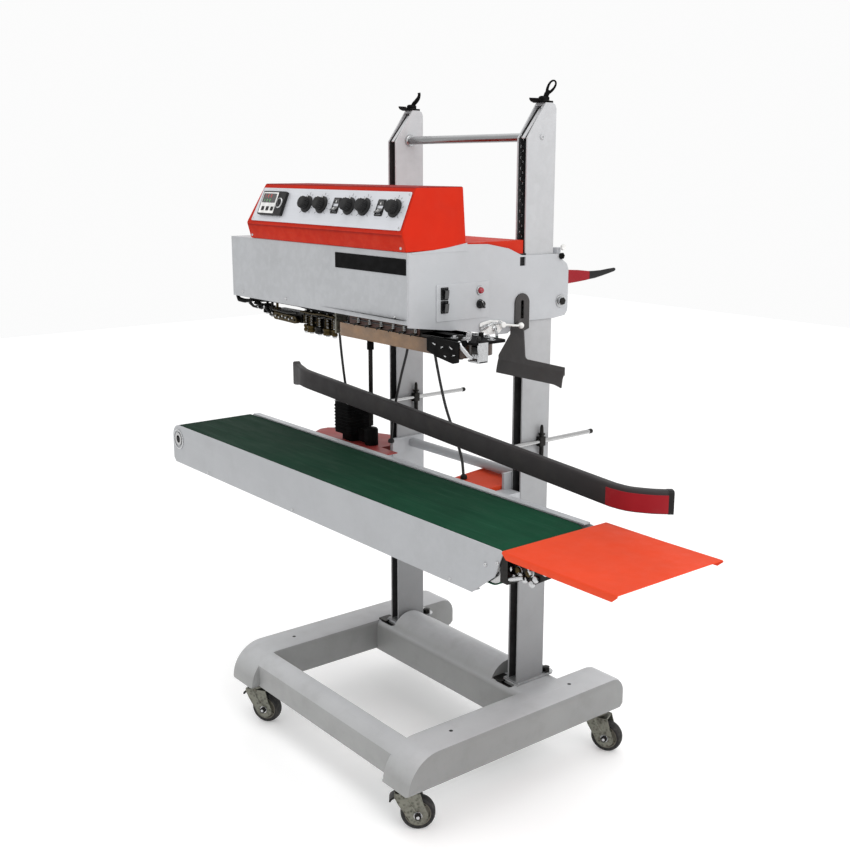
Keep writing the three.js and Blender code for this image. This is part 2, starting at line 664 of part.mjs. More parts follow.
function buildRocker(halfWidth, halfLength, crown) {
  const outline = [
    [-halfLength + 1.5, -6], [halfLength - 1.5, -6], [halfLength, crown + 1], [0, crown - 0.6],
    [-halfLength, crown + 1],
  ];
  return alongX(outline, [-halfWidth, halfWidth]);
}

function buildController() {
  let body = box([-341, -246], [18, 72], [0, 9]);
  body = body.subtract(box([-332, -276], [44, 65], [7, 12]));
  body = body.subtract(box([-332, -276], [25, 38], [7.5, 12]));
  body = union([body, box([-328, -318], [27, 36], [7, 9.5]), box([-309, -299], [27, 36], [7, 9.5]),
    box([-290, -280], [27, 36], [7, 9.5])]);
  const bezel = rodZ(-261, 45, 12, [7, 12]);
  return union([body, bezel]);
}

// ---------------------------------------------------------------- sealing unit
function buildBand(side) {
  const centre = SEAL_Y + side * BAND_OFFSET;
  const outer = alongZ(stadium(WHEEL_X[0], WHEEL_X[1], centre, BAND_LOOP_R), BAND_Z, 0, 10);
  const inner = alongZ(stadium(WHEEL_X[0], WHEEL_X[1], centre, BAND_LOOP_R - BAND_T),
    [BAND_Z[0] - 5, BAND_Z[1] + 5], 0, 10);
  return outer.subtract(inner);
}

function buildBandWheel() {
  return union([
    rodZ(0, 0, WHEEL_R, [BAND_Z[0] + 0.5, BAND_Z[1] - 0.5], ROUND),
    rodZ(0, 0, 9, [BAND_Z[0] - 3, BAND_Z[1] + 0.5]),
    rodZ(0, 0, 5, [BAND_Z[1], 1011]),
  ]);
}

function buildHeaterBlock() {
  const right = SIDE_PLATE_X[0] - 3;    // the tall part stays inside the side plate
  const wide = [SEAL_Y - 40, SEAL_Y + 40];
  const parts = [
    box([-60, right], wide, [1014, DECK_Z[0] - GAP]),
    box([right - 8, 343.5], wide, [998, 1003]),
  ];
  for (const side of [-1, 1]) {
    const span = (near, far) => (side < 0 ? [SEAL_Y - far, SEAL_Y - near] : [SEAL_Y + near, SEAL_Y + far]);
    parts.push(box([-50, right], span(10, 43), [BAND_Z[1] + 1.5, 1015]));
    parts.push(box([right - 1, 254], span(10, 43), [BAND_Z[1] + 1.5, 1003]));
    parts.push(box([-46, 120], span(5.2, 24), [BAND_Z[0], BAND_Z[1] + 2]));
    parts.push(box([134, 250], span(5.2, 24), [BAND_Z[0], BAND_Z[1] + 2]));
  }
  parts.push(box([308, 343.5], [SEAL_Y - 32, SEAL_Y - 8], [964, 967]));
  parts.push(box([340, 343.5], [SEAL_Y - 32, SEAL_Y - 8], [965, 1002]));
  let block = union(parts);
  for (const x of WHEEL_X) {
    for (const side of [-1, 1]) {
      block = block.subtract(rodZ(x, SEAL_Y + side * BAND_OFFSET, 6, [BAND_Z[1], 1013.9]));
    }
  }
  return block.subtract(rodZ(PRESS_WHEEL.x, PRESS_WHEEL.y, 5, [990, 1010]));
}

function buildPressWheel() {
  return union([
    rodZ(0, 0, PRESS_WHEEL.r, [971, 993], ROUND),
    rodZ(0, 0, 4, [967.4, 1011]),
  ]);
}

function buildInfeedGuide() {
  const top = DECK_Z[0] - GAP;
  const outline = [
    [-470, top], [-482, 1015], [-482, 1008], [-474, 1016], [-458, 1013], [-424, 1007], [-416, 994], [-410, 985],
    [-400, 985], [-394, 994], [-380, 989], [-372, 976], [-262, 974], [-254, 981], [-238, 967], [-112, 971],
    [-108, top],
  ];
  let guide = alongY(outline, [SEAL_Y - 46, SEAL_Y - 12]);
  guide = guide.subtract(alongY([[-366, 999], [-262, 983], [-262, 1012], [-366, 1012]], [-300, -100]));
  for (const x of [-216, -184, -152]) {
    guide = guide.add(rodZ(x, SEAL_Y - 34, 12, [959, 975]));
  }
  return guide;
}

function buildOutfeedGuide() {
  const plate = alongY([[192, 984], [196, 996], [230, 996], [236, 936], [349, 934], [349, 916], [155, 921],
    [155, 934]], [27, 30]);
  // flared lower lip of the guide
  const lip = alongX([[27, 924], [30, 924], [24, 899], [21, 899]], [155, 349]);
  // slotted arm that holds the guide on the side plate
  const armX = [SIDE_PLATE_X[1] + GAP, SIDE_PLATE_X[1] + 3.4];
  const arm = alongX([[27, 975], [78, 990], [78, 1054], [72, 1061], [62, 1064], [53, 1064], [43, 1061], [38, 1054],
    [38, 998], [27, 996]], armX);
  const slot = box([armX[0] - 1, armX[1] + 1], [54, 62], [1012, 1050]);
  return union([plate, lip, arm.subtract(slot)]);
}

function buildReleaseLever() {
  const ball = new THREE.SphereGeometry(6.5, 12, 8);
  ball.translate(10, 46, -5);
  const arm = new THREE.CylinderGeometry(2.2, 2.2, 46, 10);
  arm.translate(0, 23, 0);
  arm.rotateX(-0.11);
  arm.translate(6, 0, 0);
  return union([rodX(0, 0, 6, [0, 9]), solid(arm), solid(ball)]);
}

function buildRearLever() {
  const hub = rodX(0, 0, 9, [-7, 7]);
  const blade = alongX([[2, -14], [48, -14], [147, -2.5], [153, 0], [147, 4], [48, 14], [2, 14]], [-3.5, 3.5]);
  return union([hub, blade]);
}

// ---------------------------------------------------------------- cables
const CABLES = {
  motor_cable: [[-441, 34, 1023], [-448, 34, 980], [-444, 34, 900], [-430, 36, 800], [-420, 40, 748]],
  column_cable: [[-170, 46, 1023], [-172, 46, 960], [-182, 46, 900], [-208, 46, 830], [-236, 46, 740],
    [-248, 46.2, 664]],
  conveyor_cable: [[-84, 38, 1023], [-80, 38, 960], [-66, 38, 895], [-34, 38, 800], [0, 36, 740],
    [40, 26, 690], [56, 20, SHELF_TOP + 1]],
};

// ---------------------------------------------------------------- assembly
const machine = new THREE.Group();
machine.name = 'band_sealer';

machine.add(node('base_frame', buildBase(), FINISH.greyPaint));
machine.add(node('column_left', buildColumn(COLUMN_X.left), FINISH.greyPaint));
machine.add(node('column_right', buildColumn(COLUMN_X.right), FINISH.greyPaint));
const tieRodX = [COLUMN_X.left + COLUMN_HALF + GAP, COLUMN_X.right - COLUMN_HALF - GAP];
machine.add(node('tie_rod', rodX(TIE_ROD_Y, TIE_ROD_Z, 9, tieRodX), FINISH.steel));

for (const [key, loopTurn] of [['left', Math.PI / 2], ['right', 0]]) {
  const screw = buildLiftScrew(COLUMN_X[key], loopTurn);
  screw.name = `lift_screw_${key}`;
  machine.add(screw);
}

for (const caster of CASTERS) {
  const group = new THREE.Group();
  group.name = `caster_${caster.name}`;
  group.position.set(caster.x, caster.y, 0);
  group.rotation.z = THREE.MathUtils.degToRad(caster.angle);
  group.add(node(`caster_fork_${caster.name}`, buildFork(), FINISH.zinc));
  const wheel = node(`caster_wheel_${caster.name}`, buildWheel(), FINISH.rubber);
  wheel.position.set(CASTER_TRAIL, 0, CASTER_R);
  group.add(wheel);
  machine.add(group);
}

machine.add(node('conveyor_frame', buildConveyorFrame(), FINISH.whitePaint));
machine.add(node('conveyor_belt', buildBelt(), FINISH.belt));
for (const [index, key] of ['infeed', 'outfeed'].entries()) {
  const drum = node(`drum_${key}`, buildDrum(DRUM_REACH[index]), FINISH.steel);
  drum.position.set(DRUM_X[index], 0, DRUM_Z);
  machine.add(drum);
}
machine.add(node('outfeed_tray', buildTray(), FINISH.redPaint));
machine.add(node('shelf_left', buildShelf(SHELF_PLANS.left, COLUMN_X.left - 24), FINISH.redPaint));
machine.add(node('shelf_right', buildShelf(SHELF_PLANS.right, COLUMN_X.right), FINISH.redPaint));
machine.add(node('drive_gearbox', buildGearbox(), FINISH.black));
machine.add(node('drive_shaft_lower', rodZ(DRIVE.x, DRIVE.y, DRIVE_R, DRIVE_Z), FINISH.darkSteel));
const sleeve = rodZ(DRIVE.x, DRIVE.y, SLEEVE_R, SLEEVE_Z)
  .subtract(rodZ(DRIVE.x, DRIVE.y, DRIVE_R + 0.6, [SLEEVE_Z[0] - 5, SLEEVE_Z[1] + 5]));
machine.add(node('drive_shaft_upper', sleeve, FINISH.black));

// the bar and its two rods are one welded piece that slides through the clamps
const tilt = THREE.MathUtils.degToRad(BAR_SLOPE);
const barTurn = new THREE.Matrix4().makeRotationY(tilt);
const barMesh = node('', buildGuideBar(), FINISH.guide);
barMesh.geometry.applyMatrix4(barTurn);
barMesh.geometry.translate(0, 0, BAR_TOP);
let guideBar = solid(barMesh.geometry);
for (const rod of RODS) {
  guideBar = guideBar.add(rodY(rod.x, rod.z, ROD_R, ROD_Y));
  guideBar = guideBar.add(rodY(rod.x, rod.z, 7, [ROD_Y[1] - 1, ROD_Y[1] + 9]));
}
machine.add(node('guide_bar', guideBar, FINISH.guide));
for (const rod of RODS) {
  const face = rod.x - 8 + GAP;
  const clamp = union([
    box([face, rod.x + 9], [110, 132], [rod.z - 14, rod.z + 14]),
    rodZ(rod.x + 1, 121, 5, [rod.z - 34, rod.z + 30]),
  ]).subtract(rodY(rod.x, rod.z, ROD_R + 0.08, [80, 160]));
  machine.add(node(`rod_clamp_${rod.name}`, clamp, FINISH.steel));
}

const head = new THREE.Group();
head.name = 'head_group';
head.add(node('head_frame', buildHeadFrame(), FINISH.greyPaint));
head.add(node('head_casing', buildCasing(), FINISH.whitePaint));
head.add(node('side_plate', buildSidePlate(), FINISH.whitePaint));
head.add(node('rear_cover', buildRearCover(), FINISH.redPaint));
head.add(node('control_box', cutRockers(buildControlBox()), FINISH.redPaint));

const panel = onPanel();
panel.add(node('panel_plate', buildPanelPlate(), FINISH.silver));
const controller = node('temperature_controller', buildController(), FINISH.black);
controller.position.z = PANEL_T + 2 * GAP;
panel.add(controller);
for (const [index, x] of KNOBS.entries()) {
  const knob = node(`knob_${index + 1}`, buildKnob(), FINISH.black);
  knob.position.set(x, KNOB_Y, PANEL_T + 2 * GAP);
  panel.add(knob);
}
for (const [index, x] of ROCKERS.entries()) {
  const rocker = node(`panel_rocker_${index + 1}`, buildRocker(12.2, 15.4, 5), FINISH.black);
  rocker.position.set(x, KNOB_Y, 0);
  rocker.rotation.x = ROCKER_REST;
  panel.add(rocker);
}
head.add(panel);

const sideFace = SIDE_PLATE_X[1] + 1.5;
for (const [index, z] of [1077, 1051].entries()) {
  const rocker = node(`side_rocker_${index + 1}`, buildRocker(8.6, 10.2, 4.2), FINISH.black);
  rocker.rotation.set(Math.PI / 2, Math.PI / 2, 0, 'YXZ');
  const tip = new THREE.Group();
  tip.name = `side_rocker_group_${index + 1}`;
  tip.position.set(sideFace - 1.5, -149, z);
  tip.rotation.y = -ROCKER_REST;
  tip.add(rocker);
  head.add(tip);
}
head.add(node('pilot_lamp', union([
  rodX(-58, 1078, 10, [sideFace + GAP, sideFace + 4]),
  rodX(-58, 1078, 7.5, [sideFace + 3, sideFace + 10]),
]), FINISH.lamp));
const sideKnob = union([rodX(0, 0, 10.5, [0, 4]), rodX(0, 0, 8, [3, 15]), box([3, 16.5], [-2, 2], [-8, 8])]);
const knobMesh = node('side_knob', sideKnob, FINISH.black);
knobMesh.position.set(sideFace + GAP, -58, 1051);
head.add(knobMesh);

head.add(node('seal_band_front', buildBand(-1), FINISH.band));
head.add(node('seal_band_rear', buildBand(1), FINISH.band));
for (const [sideName, side] of [['front', -1], ['rear', 1]]) {
  for (const [index, end] of ['infeed', 'outfeed'].entries()) {
    const wheel = node(`band_wheel_${sideName}_${end}`, buildBandWheel(), FINISH.steel);
    wheel.position.set(WHEEL_X[index], SEAL_Y + side * BAND_OFFSET, 0);
    head.add(wheel);
  }
}
head.add(node('heater_block', buildHeaterBlock(), FINISH.darkSteel));
const press = node('press_wheel', buildPressWheel(), FINISH.steel);
press.position.set(PRESS_WHEEL.x, PRESS_WHEEL.y, 0);
head.add(press);
head.add(node('infeed_guide', buildInfeedGuide(), FINISH.darkSteel));
head.add(node('outfeed_guide', buildOutfeedGuide(), FINISH.guide));

const release = node('release_lever', buildReleaseLever(), FINISH.whitePaint);
release.position.set(SIDE_PLATE_X[1] + GAP, 2, 1004);
head.add(release);
const lever = node('rear_lever', buildRearLever(), FINISH.redPaint);
lever.position.set(COLUMN_X.right + 4, 177, 1088);
head.add(lever);
machine.add(head);

for (const [name, points] of Object.entries(CABLES)) {
  machine.add(node(name, tube(points, 3.2, 20), FINISH.black));
}

// the origin lies on the floor under the middle of the machine
machine.position.x = CENTRE_SHIFT;

export default machine;
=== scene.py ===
import json
import math

import bmesh
import bpy
from mathutils import Matrix, Vector


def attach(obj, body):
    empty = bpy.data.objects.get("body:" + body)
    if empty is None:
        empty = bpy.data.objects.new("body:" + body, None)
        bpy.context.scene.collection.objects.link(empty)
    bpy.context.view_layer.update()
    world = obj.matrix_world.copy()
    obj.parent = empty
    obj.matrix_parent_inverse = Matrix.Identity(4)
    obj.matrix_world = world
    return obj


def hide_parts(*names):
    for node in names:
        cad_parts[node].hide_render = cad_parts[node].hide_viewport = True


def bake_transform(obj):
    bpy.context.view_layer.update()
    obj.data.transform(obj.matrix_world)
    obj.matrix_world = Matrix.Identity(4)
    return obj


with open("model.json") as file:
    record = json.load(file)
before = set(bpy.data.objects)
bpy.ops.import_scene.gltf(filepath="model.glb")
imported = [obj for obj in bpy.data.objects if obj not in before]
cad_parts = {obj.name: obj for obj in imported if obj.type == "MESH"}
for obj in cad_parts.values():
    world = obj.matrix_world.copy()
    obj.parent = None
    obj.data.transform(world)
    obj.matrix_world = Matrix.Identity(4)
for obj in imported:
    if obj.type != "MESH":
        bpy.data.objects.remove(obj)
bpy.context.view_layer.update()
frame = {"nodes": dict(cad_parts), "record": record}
NODES = frame["nodes"]
RECORD = frame["record"]
BODIES = RECORD["behaviour"]["bodies"]
NODE_BODY = {n: b for b, ns in BODIES.items() for n in ns}

SHIFT = 7.5          # the machine's layout sits this far along X from the frame's origin, mm
WAVE_AT_ONE_METRE = 0.314    # scale of the wave texture that sets its bands one metre apart


def place(v):
    """A point of the machine's layout in the frame's metres."""
    return Vector(((v[0] + SHIFT) / 1000, v[1] / 1000, v[2] / 1000))


# ------------------------------------------------------------------ materials
def srgb(r, g, b):
    """Linear colour from 8-bit values."""
    def lin(c):
        c /= 255
        return c / 12.92 if c <= 0.04045 else ((c + 0.055) / 1.055) ** 2.4
    return (lin(r), lin(g), lin(b), 1.0)


def scaled(colour, k):
    """A colour made k times as bright."""
    return (min(1, colour[0] * k), min(1, colour[1] * k), min(1, colour[2] * k), 1.0)


class Mat:
    """A procedural material on object coordinates, which are metres in the frame."""

    def __init__(self, name, roughness=0.5, metallic=0.0, specular=0.5, coat=0.0, coat_rough=0.1):
        self.m = bpy.data.materials.new(name)
        self.m.use_nodes = True
        self.nt = self.m.node_tree
        self.b = self.nt.nodes["Principled BSDF"]
        self.b.inputs["Roughness"].default_value = roughness
        self.b.inputs["Metallic"].default_value = metallic
        self.b.inputs["Specular IOR Level"].default_value = specular
        self.b.inputs["Coat Weight"].default_value = coat
        self.b.inputs["Coat Roughness"].default_value = coat_rough
        self.b.inputs["IOR"].default_value = 1.5
        self.tc = self.nt.nodes.new("ShaderNodeTexCoord")

    @classmethod
    def reopen(cls, material):
        """Takes up a material that is already made."""
        self = cls.__new__(cls)
        self.m, self.nt = material, material.node_tree
        self.b = self.nt.nodes["Principled BSDF"]
        self.tc = self.nt.nodes.new("ShaderNodeTexCoord")
        return self

    def link(self, a, b):
        self.nt.links.new(a, b)

    def coords(self, scale=(1, 1, 1)):
        n = self.nt.nodes.new("ShaderNodeMapping")
        n.inputs["Scale"].default_value = scale
        self.link(self.tc.outputs["Object"], n.inputs["Vector"])
        return n.outputs["Vector"]

    def xyz(self, which="Object"):
        n = self.nt.nodes.new("ShaderNodeSeparateXYZ")
        self.link(self.tc.outputs[which], n.inputs[0])
        return n.outputs

    def noise(self, scale, detail=3, rough=0.55, stretch=(1, 1, 1)):
        n = self.nt.nodes.new("ShaderNodeTexNoise")
        n.inputs["Scale"].default_value = scale
        n.inputs["Detail"].default_value = detail
        n.inputs["Roughness"].default_value = rough
        self.link(self.coords(stretch), n.inputs["Vector"])
        return n.outputs["Fac"]

    def voronoi(self, scale):
        n = self.nt.nodes.new("ShaderNodeTexVoronoi")
        n.inputs["Scale"].default_value = scale
        self.link(self.coords(), n.inputs["Vector"])
        return n.outputs["Distance"]

    def wave(self, period, direction):
        """Even bands along a direction, their period in metres."""
        n = self.nt.nodes.new("ShaderNodeTexWave")
        n.bands_direction = direction
        n.inputs["Scale"].default_value = WAVE_AT_ONE_METRE / period
        n.inputs["Detail"].default_value = 1.0
        self.link(self.coords(), n.inputs["Vector"])
        return n.outputs["Fac"]

    def ramp(self, fac, stops):
        n = self.nt.nodes.new("ShaderNodeValToRGB")
        e = n.color_ramp.elements
        e[0].position, e[0].color = stops[0]
        e[1].position, e[1].color = stops[-1]
        for p, c in stops[1:-1]:
            x = e.new(p)
            x.color = c
        self.link(fac, n.inputs["Fac"])
        return n.outputs["Color"]

    def span(self, fac, lo, hi, a=0.3, b=0.7):
        n = self.nt.nodes.new("ShaderNodeMapRange")
        n.inputs["From Min"].default_value = a
        n.inputs["From Max"].default_value = b
        n.inputs["To Min"].default_value = lo
        n.inputs["To Max"].default_value = hi
        self.link(fac, n.inputs["Value"])
        return n.outputs["Result"]

    def mix(self, fac, a, b, mode="MIX"):
        n = self.nt.nodes.new("ShaderNodeMix")
        n.data_type = "RGBA"
        n.blend_type = mode
        for socket, value in ((n.inputs[0], fac), (n.inputs[6], a), (n.inputs[7], b)):
            if isinstance(value, bpy.types.NodeSocket):
                self.link(value, socket)
            else:
                socket.default_value = value
        return n.outputs[2]

    def math(self, op, a, b=0.0):
        n = self.nt.nodes.new("ShaderNodeMath")
        n.operation = op
        for i, value in enumerate((a, b)):
            if isinstance(value, bpy.types.NodeSocket):
                self.link(value, n.inputs[i])
            else:
                n.inputs[i].default_value = value
        return n.outputs[0]

    def pointiness(self, a, b):
        n = self.nt.nodes.new("ShaderNodeNewGeometry")
        return self.span(n.outputs["Pointiness"], 0.0, 1.0, a, b)

    def colour(self, socket):
        self.link(socket, self.b.inputs["Base Color"])

    def roughness(self, socket):
        self.link(socket, self.b.inputs["Roughness"])

    def bump(self, height, strength, distance):
        n = self.nt.nodes.new("ShaderNodeBump")
        n.inputs["Strength"].default_value = strength
        n.inputs["Distance"].default_value = distance
        self.link(height, n.inputs["Height"])
        self.link(n.outputs["Normal"], self.b.inputs["Normal"])


def paint(name, base, rough=0.42, var=0.05, wear=0.25, grime=0.12, peel=0.00012, coat=0.15, light=None,
          spec=0.5, low=1.0, height=1.4):
    """Sprayed enamel or powder coat: orange peel, faint clouds, rubbed edges, a little grime. With low under 1
    the colour carries painted shade: multiplied by low near the floor, it rises to its own at height, in
    metres."""
    m = Mat(name, rough, 0.0, spec, coat, 0.25)
    cloud = m.noise(7, 4)
    body = m.ramp(cloud, [(0.35, scaled(base, 1 - var)), (0.65, scaled(base, 1 + var))])
    specks = m.noise(420, 2)
    body = m.mix(m.span(specks, 0.0, 0.10, 0.62, 0.72), body, scaled(base, 0.55))
    dirt = m.math("MULTIPLY", m.span(m.noise(16, 6, 0.65), 0.0, 1.0, 0.5, 0.75), grime)
    body = m.mix(dirt, body, srgb(96, 88, 78))
    # painted shade: the colour darkens towards the floor
    if low < 1:
        painted_floor_shade = m.span(m.xyz()[2], low, 1.0, 0.1, height)
        body = m.mix(1.0, body, painted_floor_shade, "MULTIPLY")
    rub = m.math("MULTIPLY", m.pointiness(0.52, 0.60), m.span(m.noise(60, 4), 0.2, 1.0, 0.42, 0.62))
    body = m.mix(m.math("MULTIPLY", rub, wear), body, light or scaled(base, 1.5))
    m.colour(body)
    m.roughness(m.span(m.noise(30, 4), rough - 0.06, rough + 0.08))
    m.bump(m.noise(650, 2), 0.35, peel)
    return m.m


def add_painted_facing_shade(material, face, top, start=0.3, end=0.92, front=1.0, side=1.0):
    """Paints shade into a material by where a surface faces: upright faces take the face colour and upward ones
    the top colour as painted light and shade; front and side paint shade on what faces -Y or +X."""
    w = Mat.reopen(material)
    body = w.b.inputs["Base Color"].links[0].from_socket
    # painted shade by facing: the colour is multiplied by the face or the top colour
    up = w.span(w.xyz("Normal")[2], 0.0, 1.0, start, end)
    body = w.mix(1.0, body, w.mix(up, face, top), "MULTIPLY")
    if front < 1:
        body = w.mix(1.0, body, w.span(w.xyz("Normal")[1], front, 1.0, -0.9, -0.4), "MULTIPLY")
    if side < 1:
        body = w.mix(1.0, body, w.span(w.xyz("Normal")[0], 1.0, side, 0.4, 0.9), "MULTIPLY")
    w.colour(body)
    return material


def metal(name, base, rough=0.3, stretch=(1, 1, 1), scale=300, var=0.10, grime=0.15, bump=0.00006,
          metallic=1.0):
    """Bare or plated metal with fine machining lines or grain, stains and varied polish."""
    m = Mat(name, rough, metallic, 0.5)
    grain = m.noise(scale, 3, 0.6, stretch)
    body = m.ramp(grain, [(0.3, scaled(base, 1 - var)), (0.7, scaled(base, 1 + var))])
    stain = m.math("MULTIPLY", m.span(m.noise(45, 5, 0.7), 0.0, 1.0, 0.52, 0.72), grime)
    body = m.mix(stain, body, scaled(base, 0.35))
    m.colour(body)
    m.roughness(m.span(grain, rough - 0.08, rough + 0.12))
    m.bump(grain, 0.5, bump)
    return m.m


def plastic(name, base, rough=0.45, grain=900, depth=0.0001, var=0.12, coat=0.0, scuff=0.12, spec=0.5):
    """Moulded plastic: fine spark-eroded grain, its gloss varying in patches."""
    m = Mat(name, rough, 0.0, spec, coat, 0.12)
    body = m.ramp(m.noise(60, 4), [(0.35, scaled(base, 1 - var)), (0.65, scaled(base, 1 + var))])
    dust = m.math("MULTIPLY", m.span(m.noise(140, 5, 0.7), 0.0, 1.0, 0.55, 0.75), scuff)
    body = m.mix(dust, body, scaled(base, 3.0))
    m.colour(body)
    m.roughness(m.span(m.noise(90, 3), rough - 0.07, rough + 0.1))
    m.bump(m.noise(grain, 2), 0.4, depth)
    return m.m


def rubber(name, base, rough=0.7):
    """Black rubber with a bloom of dust."""
    m = Mat(name, rough, 0.0, 0.4)
    dust = m.span(m.noise(80, 6, 0.7), 0.0, 0.4, 0.5, 0.8)
    m.colour(m.mix(dust, m.ramp(m.noise(35, 3), [(0.35, scaled(base, 0.8)), (0.65, scaled(base, 1.25))]),
                   srgb(112, 106, 98)))
    m.roughness(m.span(m.noise(50, 3), rough - 0.1, rough + 0.12))
    m.bump(m.noise(1100, 3), 0.5, 0.00018)
    return m.m


def belt_material():
    """Green cover of a conveyor belt: fine fabric print-through, scuffs along its run, and painted shade
    darkening it towards the infeed end.
    """
    m = Mat("belt_green", 0.75, 0.0, 0.04)
    base = srgb(24, 66, 47)
    body = m.ramp(m.noise(6, 5, 0.6), [(0.3, scaled(base, 0.85)), (0.7, scaled(base, 1.15))])
    # painted shade: the belt darkens towards its infeed end
    infeed = m.span(m.xyz()[0], 0.86, 0.0, -0.74, 0.35)
    body = m.mix(infeed, body, srgb(24, 40, 32))
    streak = m.math("MULTIPLY", m.span(m.noise(9, 5, 0.65, (0.35, 3, 1)), 0.0, 1.0, 0.55, 0.78), 0.35)
    body = m.mix(streak, body, srgb(10, 36, 26))
    scuff = m.math("MULTIPLY", m.span(m.noise(40, 4, 0.7, (0.1, 4, 1)), 0.0, 1.0, 0.58, 0.75), 0.22)
    body = m.mix(scuff, body, srgb(70, 120, 98))
    m.colour(body)
    m.roughness(m.span(m.noise(25, 4, 0.6, (0.3, 2, 1)), 0.62, 0.8))
    weave = m.math("ADD", m.wave(0.0016, "X"), m.wave(0.0016, "Y"))
    m.bump(m.math("ADD", weave, m.noise(900, 2)), 0.35, 0.00012)
    return m.m


def band_material():
    """Brown non-stick glass cloth: a tight square weave under a glossy skin, darker towards its outfeed end."""
    m = Mat("band_brown", 0.36, 0.0, 0.5, 0.25, 0.2)
    base = srgb(126, 94, 60)
    body = m.ramp(m.noise(30, 5, 0.65, (0.6, 1, 1)), [(0.3, scaled(base, 0.6)), (0.7, scaled(base, 1.2))])
    weave = m.math("MULTIPLY", m.wave(0.0012, "X"), m.wave(0.0012, "Z"))
    body = m.mix(m.math("MULTIPLY", weave, 0.35), body, srgb(74, 50, 30))
    # darker towards the outfeed end
    body = m.mix(m.span(m.xyz()[0], 0.0, 0.85, 0.16, 0.24), body, srgb(40, 24, 18))
    m.colour(body)
    m.roughness(m.span(m.noise(60, 4), 0.28, 0.5))
    m.bump(weave, 0.5, 0.0001)
    return m.m


def zinc_material():
    """Galvanised sheet: patchy crystals, dull grey with darker stains."""
    m = Mat("zinc_plate", 0.42, 0.85, 0.5)
    spangle = m.math("ADD", m.math("MULTIPLY", m.voronoi(130), 0.8), m.noise(160, 4))
    body = m.ramp(spangle, [(0.35, srgb(50, 50, 46)), (0.6, srgb(88, 88, 80)), (0.95, srgb(126, 126, 116))])
    stain = m.math("MULTIPLY", m.span(m.noise(50, 5, 0.7), 0.0, 1.0, 0.5, 0.7), 0.5)
    m.colour(m.mix(stain, body, srgb(52, 46, 40)))
    m.roughness(m.span(spangle, 0.32, 0.55, 0.3, 0.9))
    m.bump(spangle, 0.35, 0.00025)
    return m.m


# column grey with painted shade: low darkens it towards the floor
GREY = paint("paint_grey", srgb(179, 180, 182), rough=0.5, var=0.04, wear=0.25, grime=0.1, peel=0.00014,
             low=0.45)
# base grey with painted shade: upright faces dimmed to 0.58, those facing +X further
BASE_GREY = add_painted_facing_shade(paint("paint_base_grey", srgb(183, 184, 186), rough=0.5, var=0.05, wear=0.22,
                         grime=0.14, peel=0.00018), face=(0.58, 0.58, 0.56, 1), top=(1, 1, 1, 1),
                   side=0.8)
HEAD_GREY = paint("paint_head_grey", srgb(168, 170, 174), rough=0.45, var=0.04, wear=0.22, grime=0.08,
                  peel=0.00014)
# white with painted shade: upright faces dimmed a little, those facing the front more
WHITE = add_painted_facing_shade(paint("paint_white", srgb(177, 179, 182), rough=0.45, var=0.03, wear=0.2, grime=0.07,
                     peel=0.00012, coat=0.08, spec=0.4), face=(0.93, 0.93, 0.93, 1), top=(1, 1, 1, 1),
               front=0.88)
RED = paint("paint_red", srgb(182, 38, 17), rough=0.55, var=0.05, wear=0.2, grime=0.05, peel=0.00018,
            coat=0.0, light=srgb(226, 84, 56), spec=0.12)
# control box red with painted shade: its top darkened to a deep crimson and its front faces dimmed
BOX_RED = add_painted_facing_shade(paint("paint_box_red", srgb(190, 34, 8), rough=0.62, var=0.05, wear=0.2, grime=0.05,
                       peel=0.0002, coat=0.0, light=srgb(226, 84, 56), spec=0.12), face=(1, 1, 1, 1),
                 top=(0.42, 0.28, 1.0, 1), start=0.46, end=0.66, front=0.84)
TRAY_RED = paint("paint_tray_red", srgb(214, 68, 36), rough=0.6, var=0.04, wear=0.15, grime=0.05,
                 peel=0.00022, coat=0.0, light=srgb(238, 116, 88), spec=0.12)
# darker copy of the red for the left shelf: painted shade
SHADED_SHELF_RED = paint("paint_shelf_red_painted_shade", srgb(146, 50, 48), rough=0.5, var=0.06, wear=0.25, grime=0.14,
                  peel=0.0002, coat=0.0, light=srgb(200, 96, 84), spec=0.3)
DEEP_RED = paint("paint_deep_red", srgb(138, 22, 32), rough=0.55, var=0.08, wear=0.22, grime=0.1,
                 peel=0.00014, coat=0.0, light=srgb(184, 78, 76), spec=0.18)
BLACK_PAINT = paint("paint_black", srgb(8, 8, 8), rough=0.5, var=0.2, wear=0.25, grime=0.03, peel=0.00012,
                    coat=0.0, light=srgb(62, 62, 64), spec=0.03)
# dark grey for sheets over the columns' inner walls: painted shade
CHANNEL_SHADE = paint("paint_channel_shade", srgb(52, 52, 53), rough=0.6, var=0.25, wear=0.2, grime=0.1,
               peel=0.0002, coat=0.0, light=srgb(90, 90, 90), spec=0.2)
GUIDE_GREY = paint("paint_guide_grey", srgb(56, 54, 54), rough=0.55, var=0.14, wear=0.3, grime=0.1,
                   peel=0.0002, coat=0.0, light=srgb(104, 102, 102), spec=0.3)
CHARCOAL = paint("paint_charcoal", srgb(40, 37, 38), rough=0.55, var=0.14, wear=0.3, grime=0.1,
                 peel=0.0002, coat=0.0, light=srgb(96, 94, 94), spec=0.3)
STEEL = metal("steel_turned", srgb(188, 189, 190), rough=0.24, scale=260)
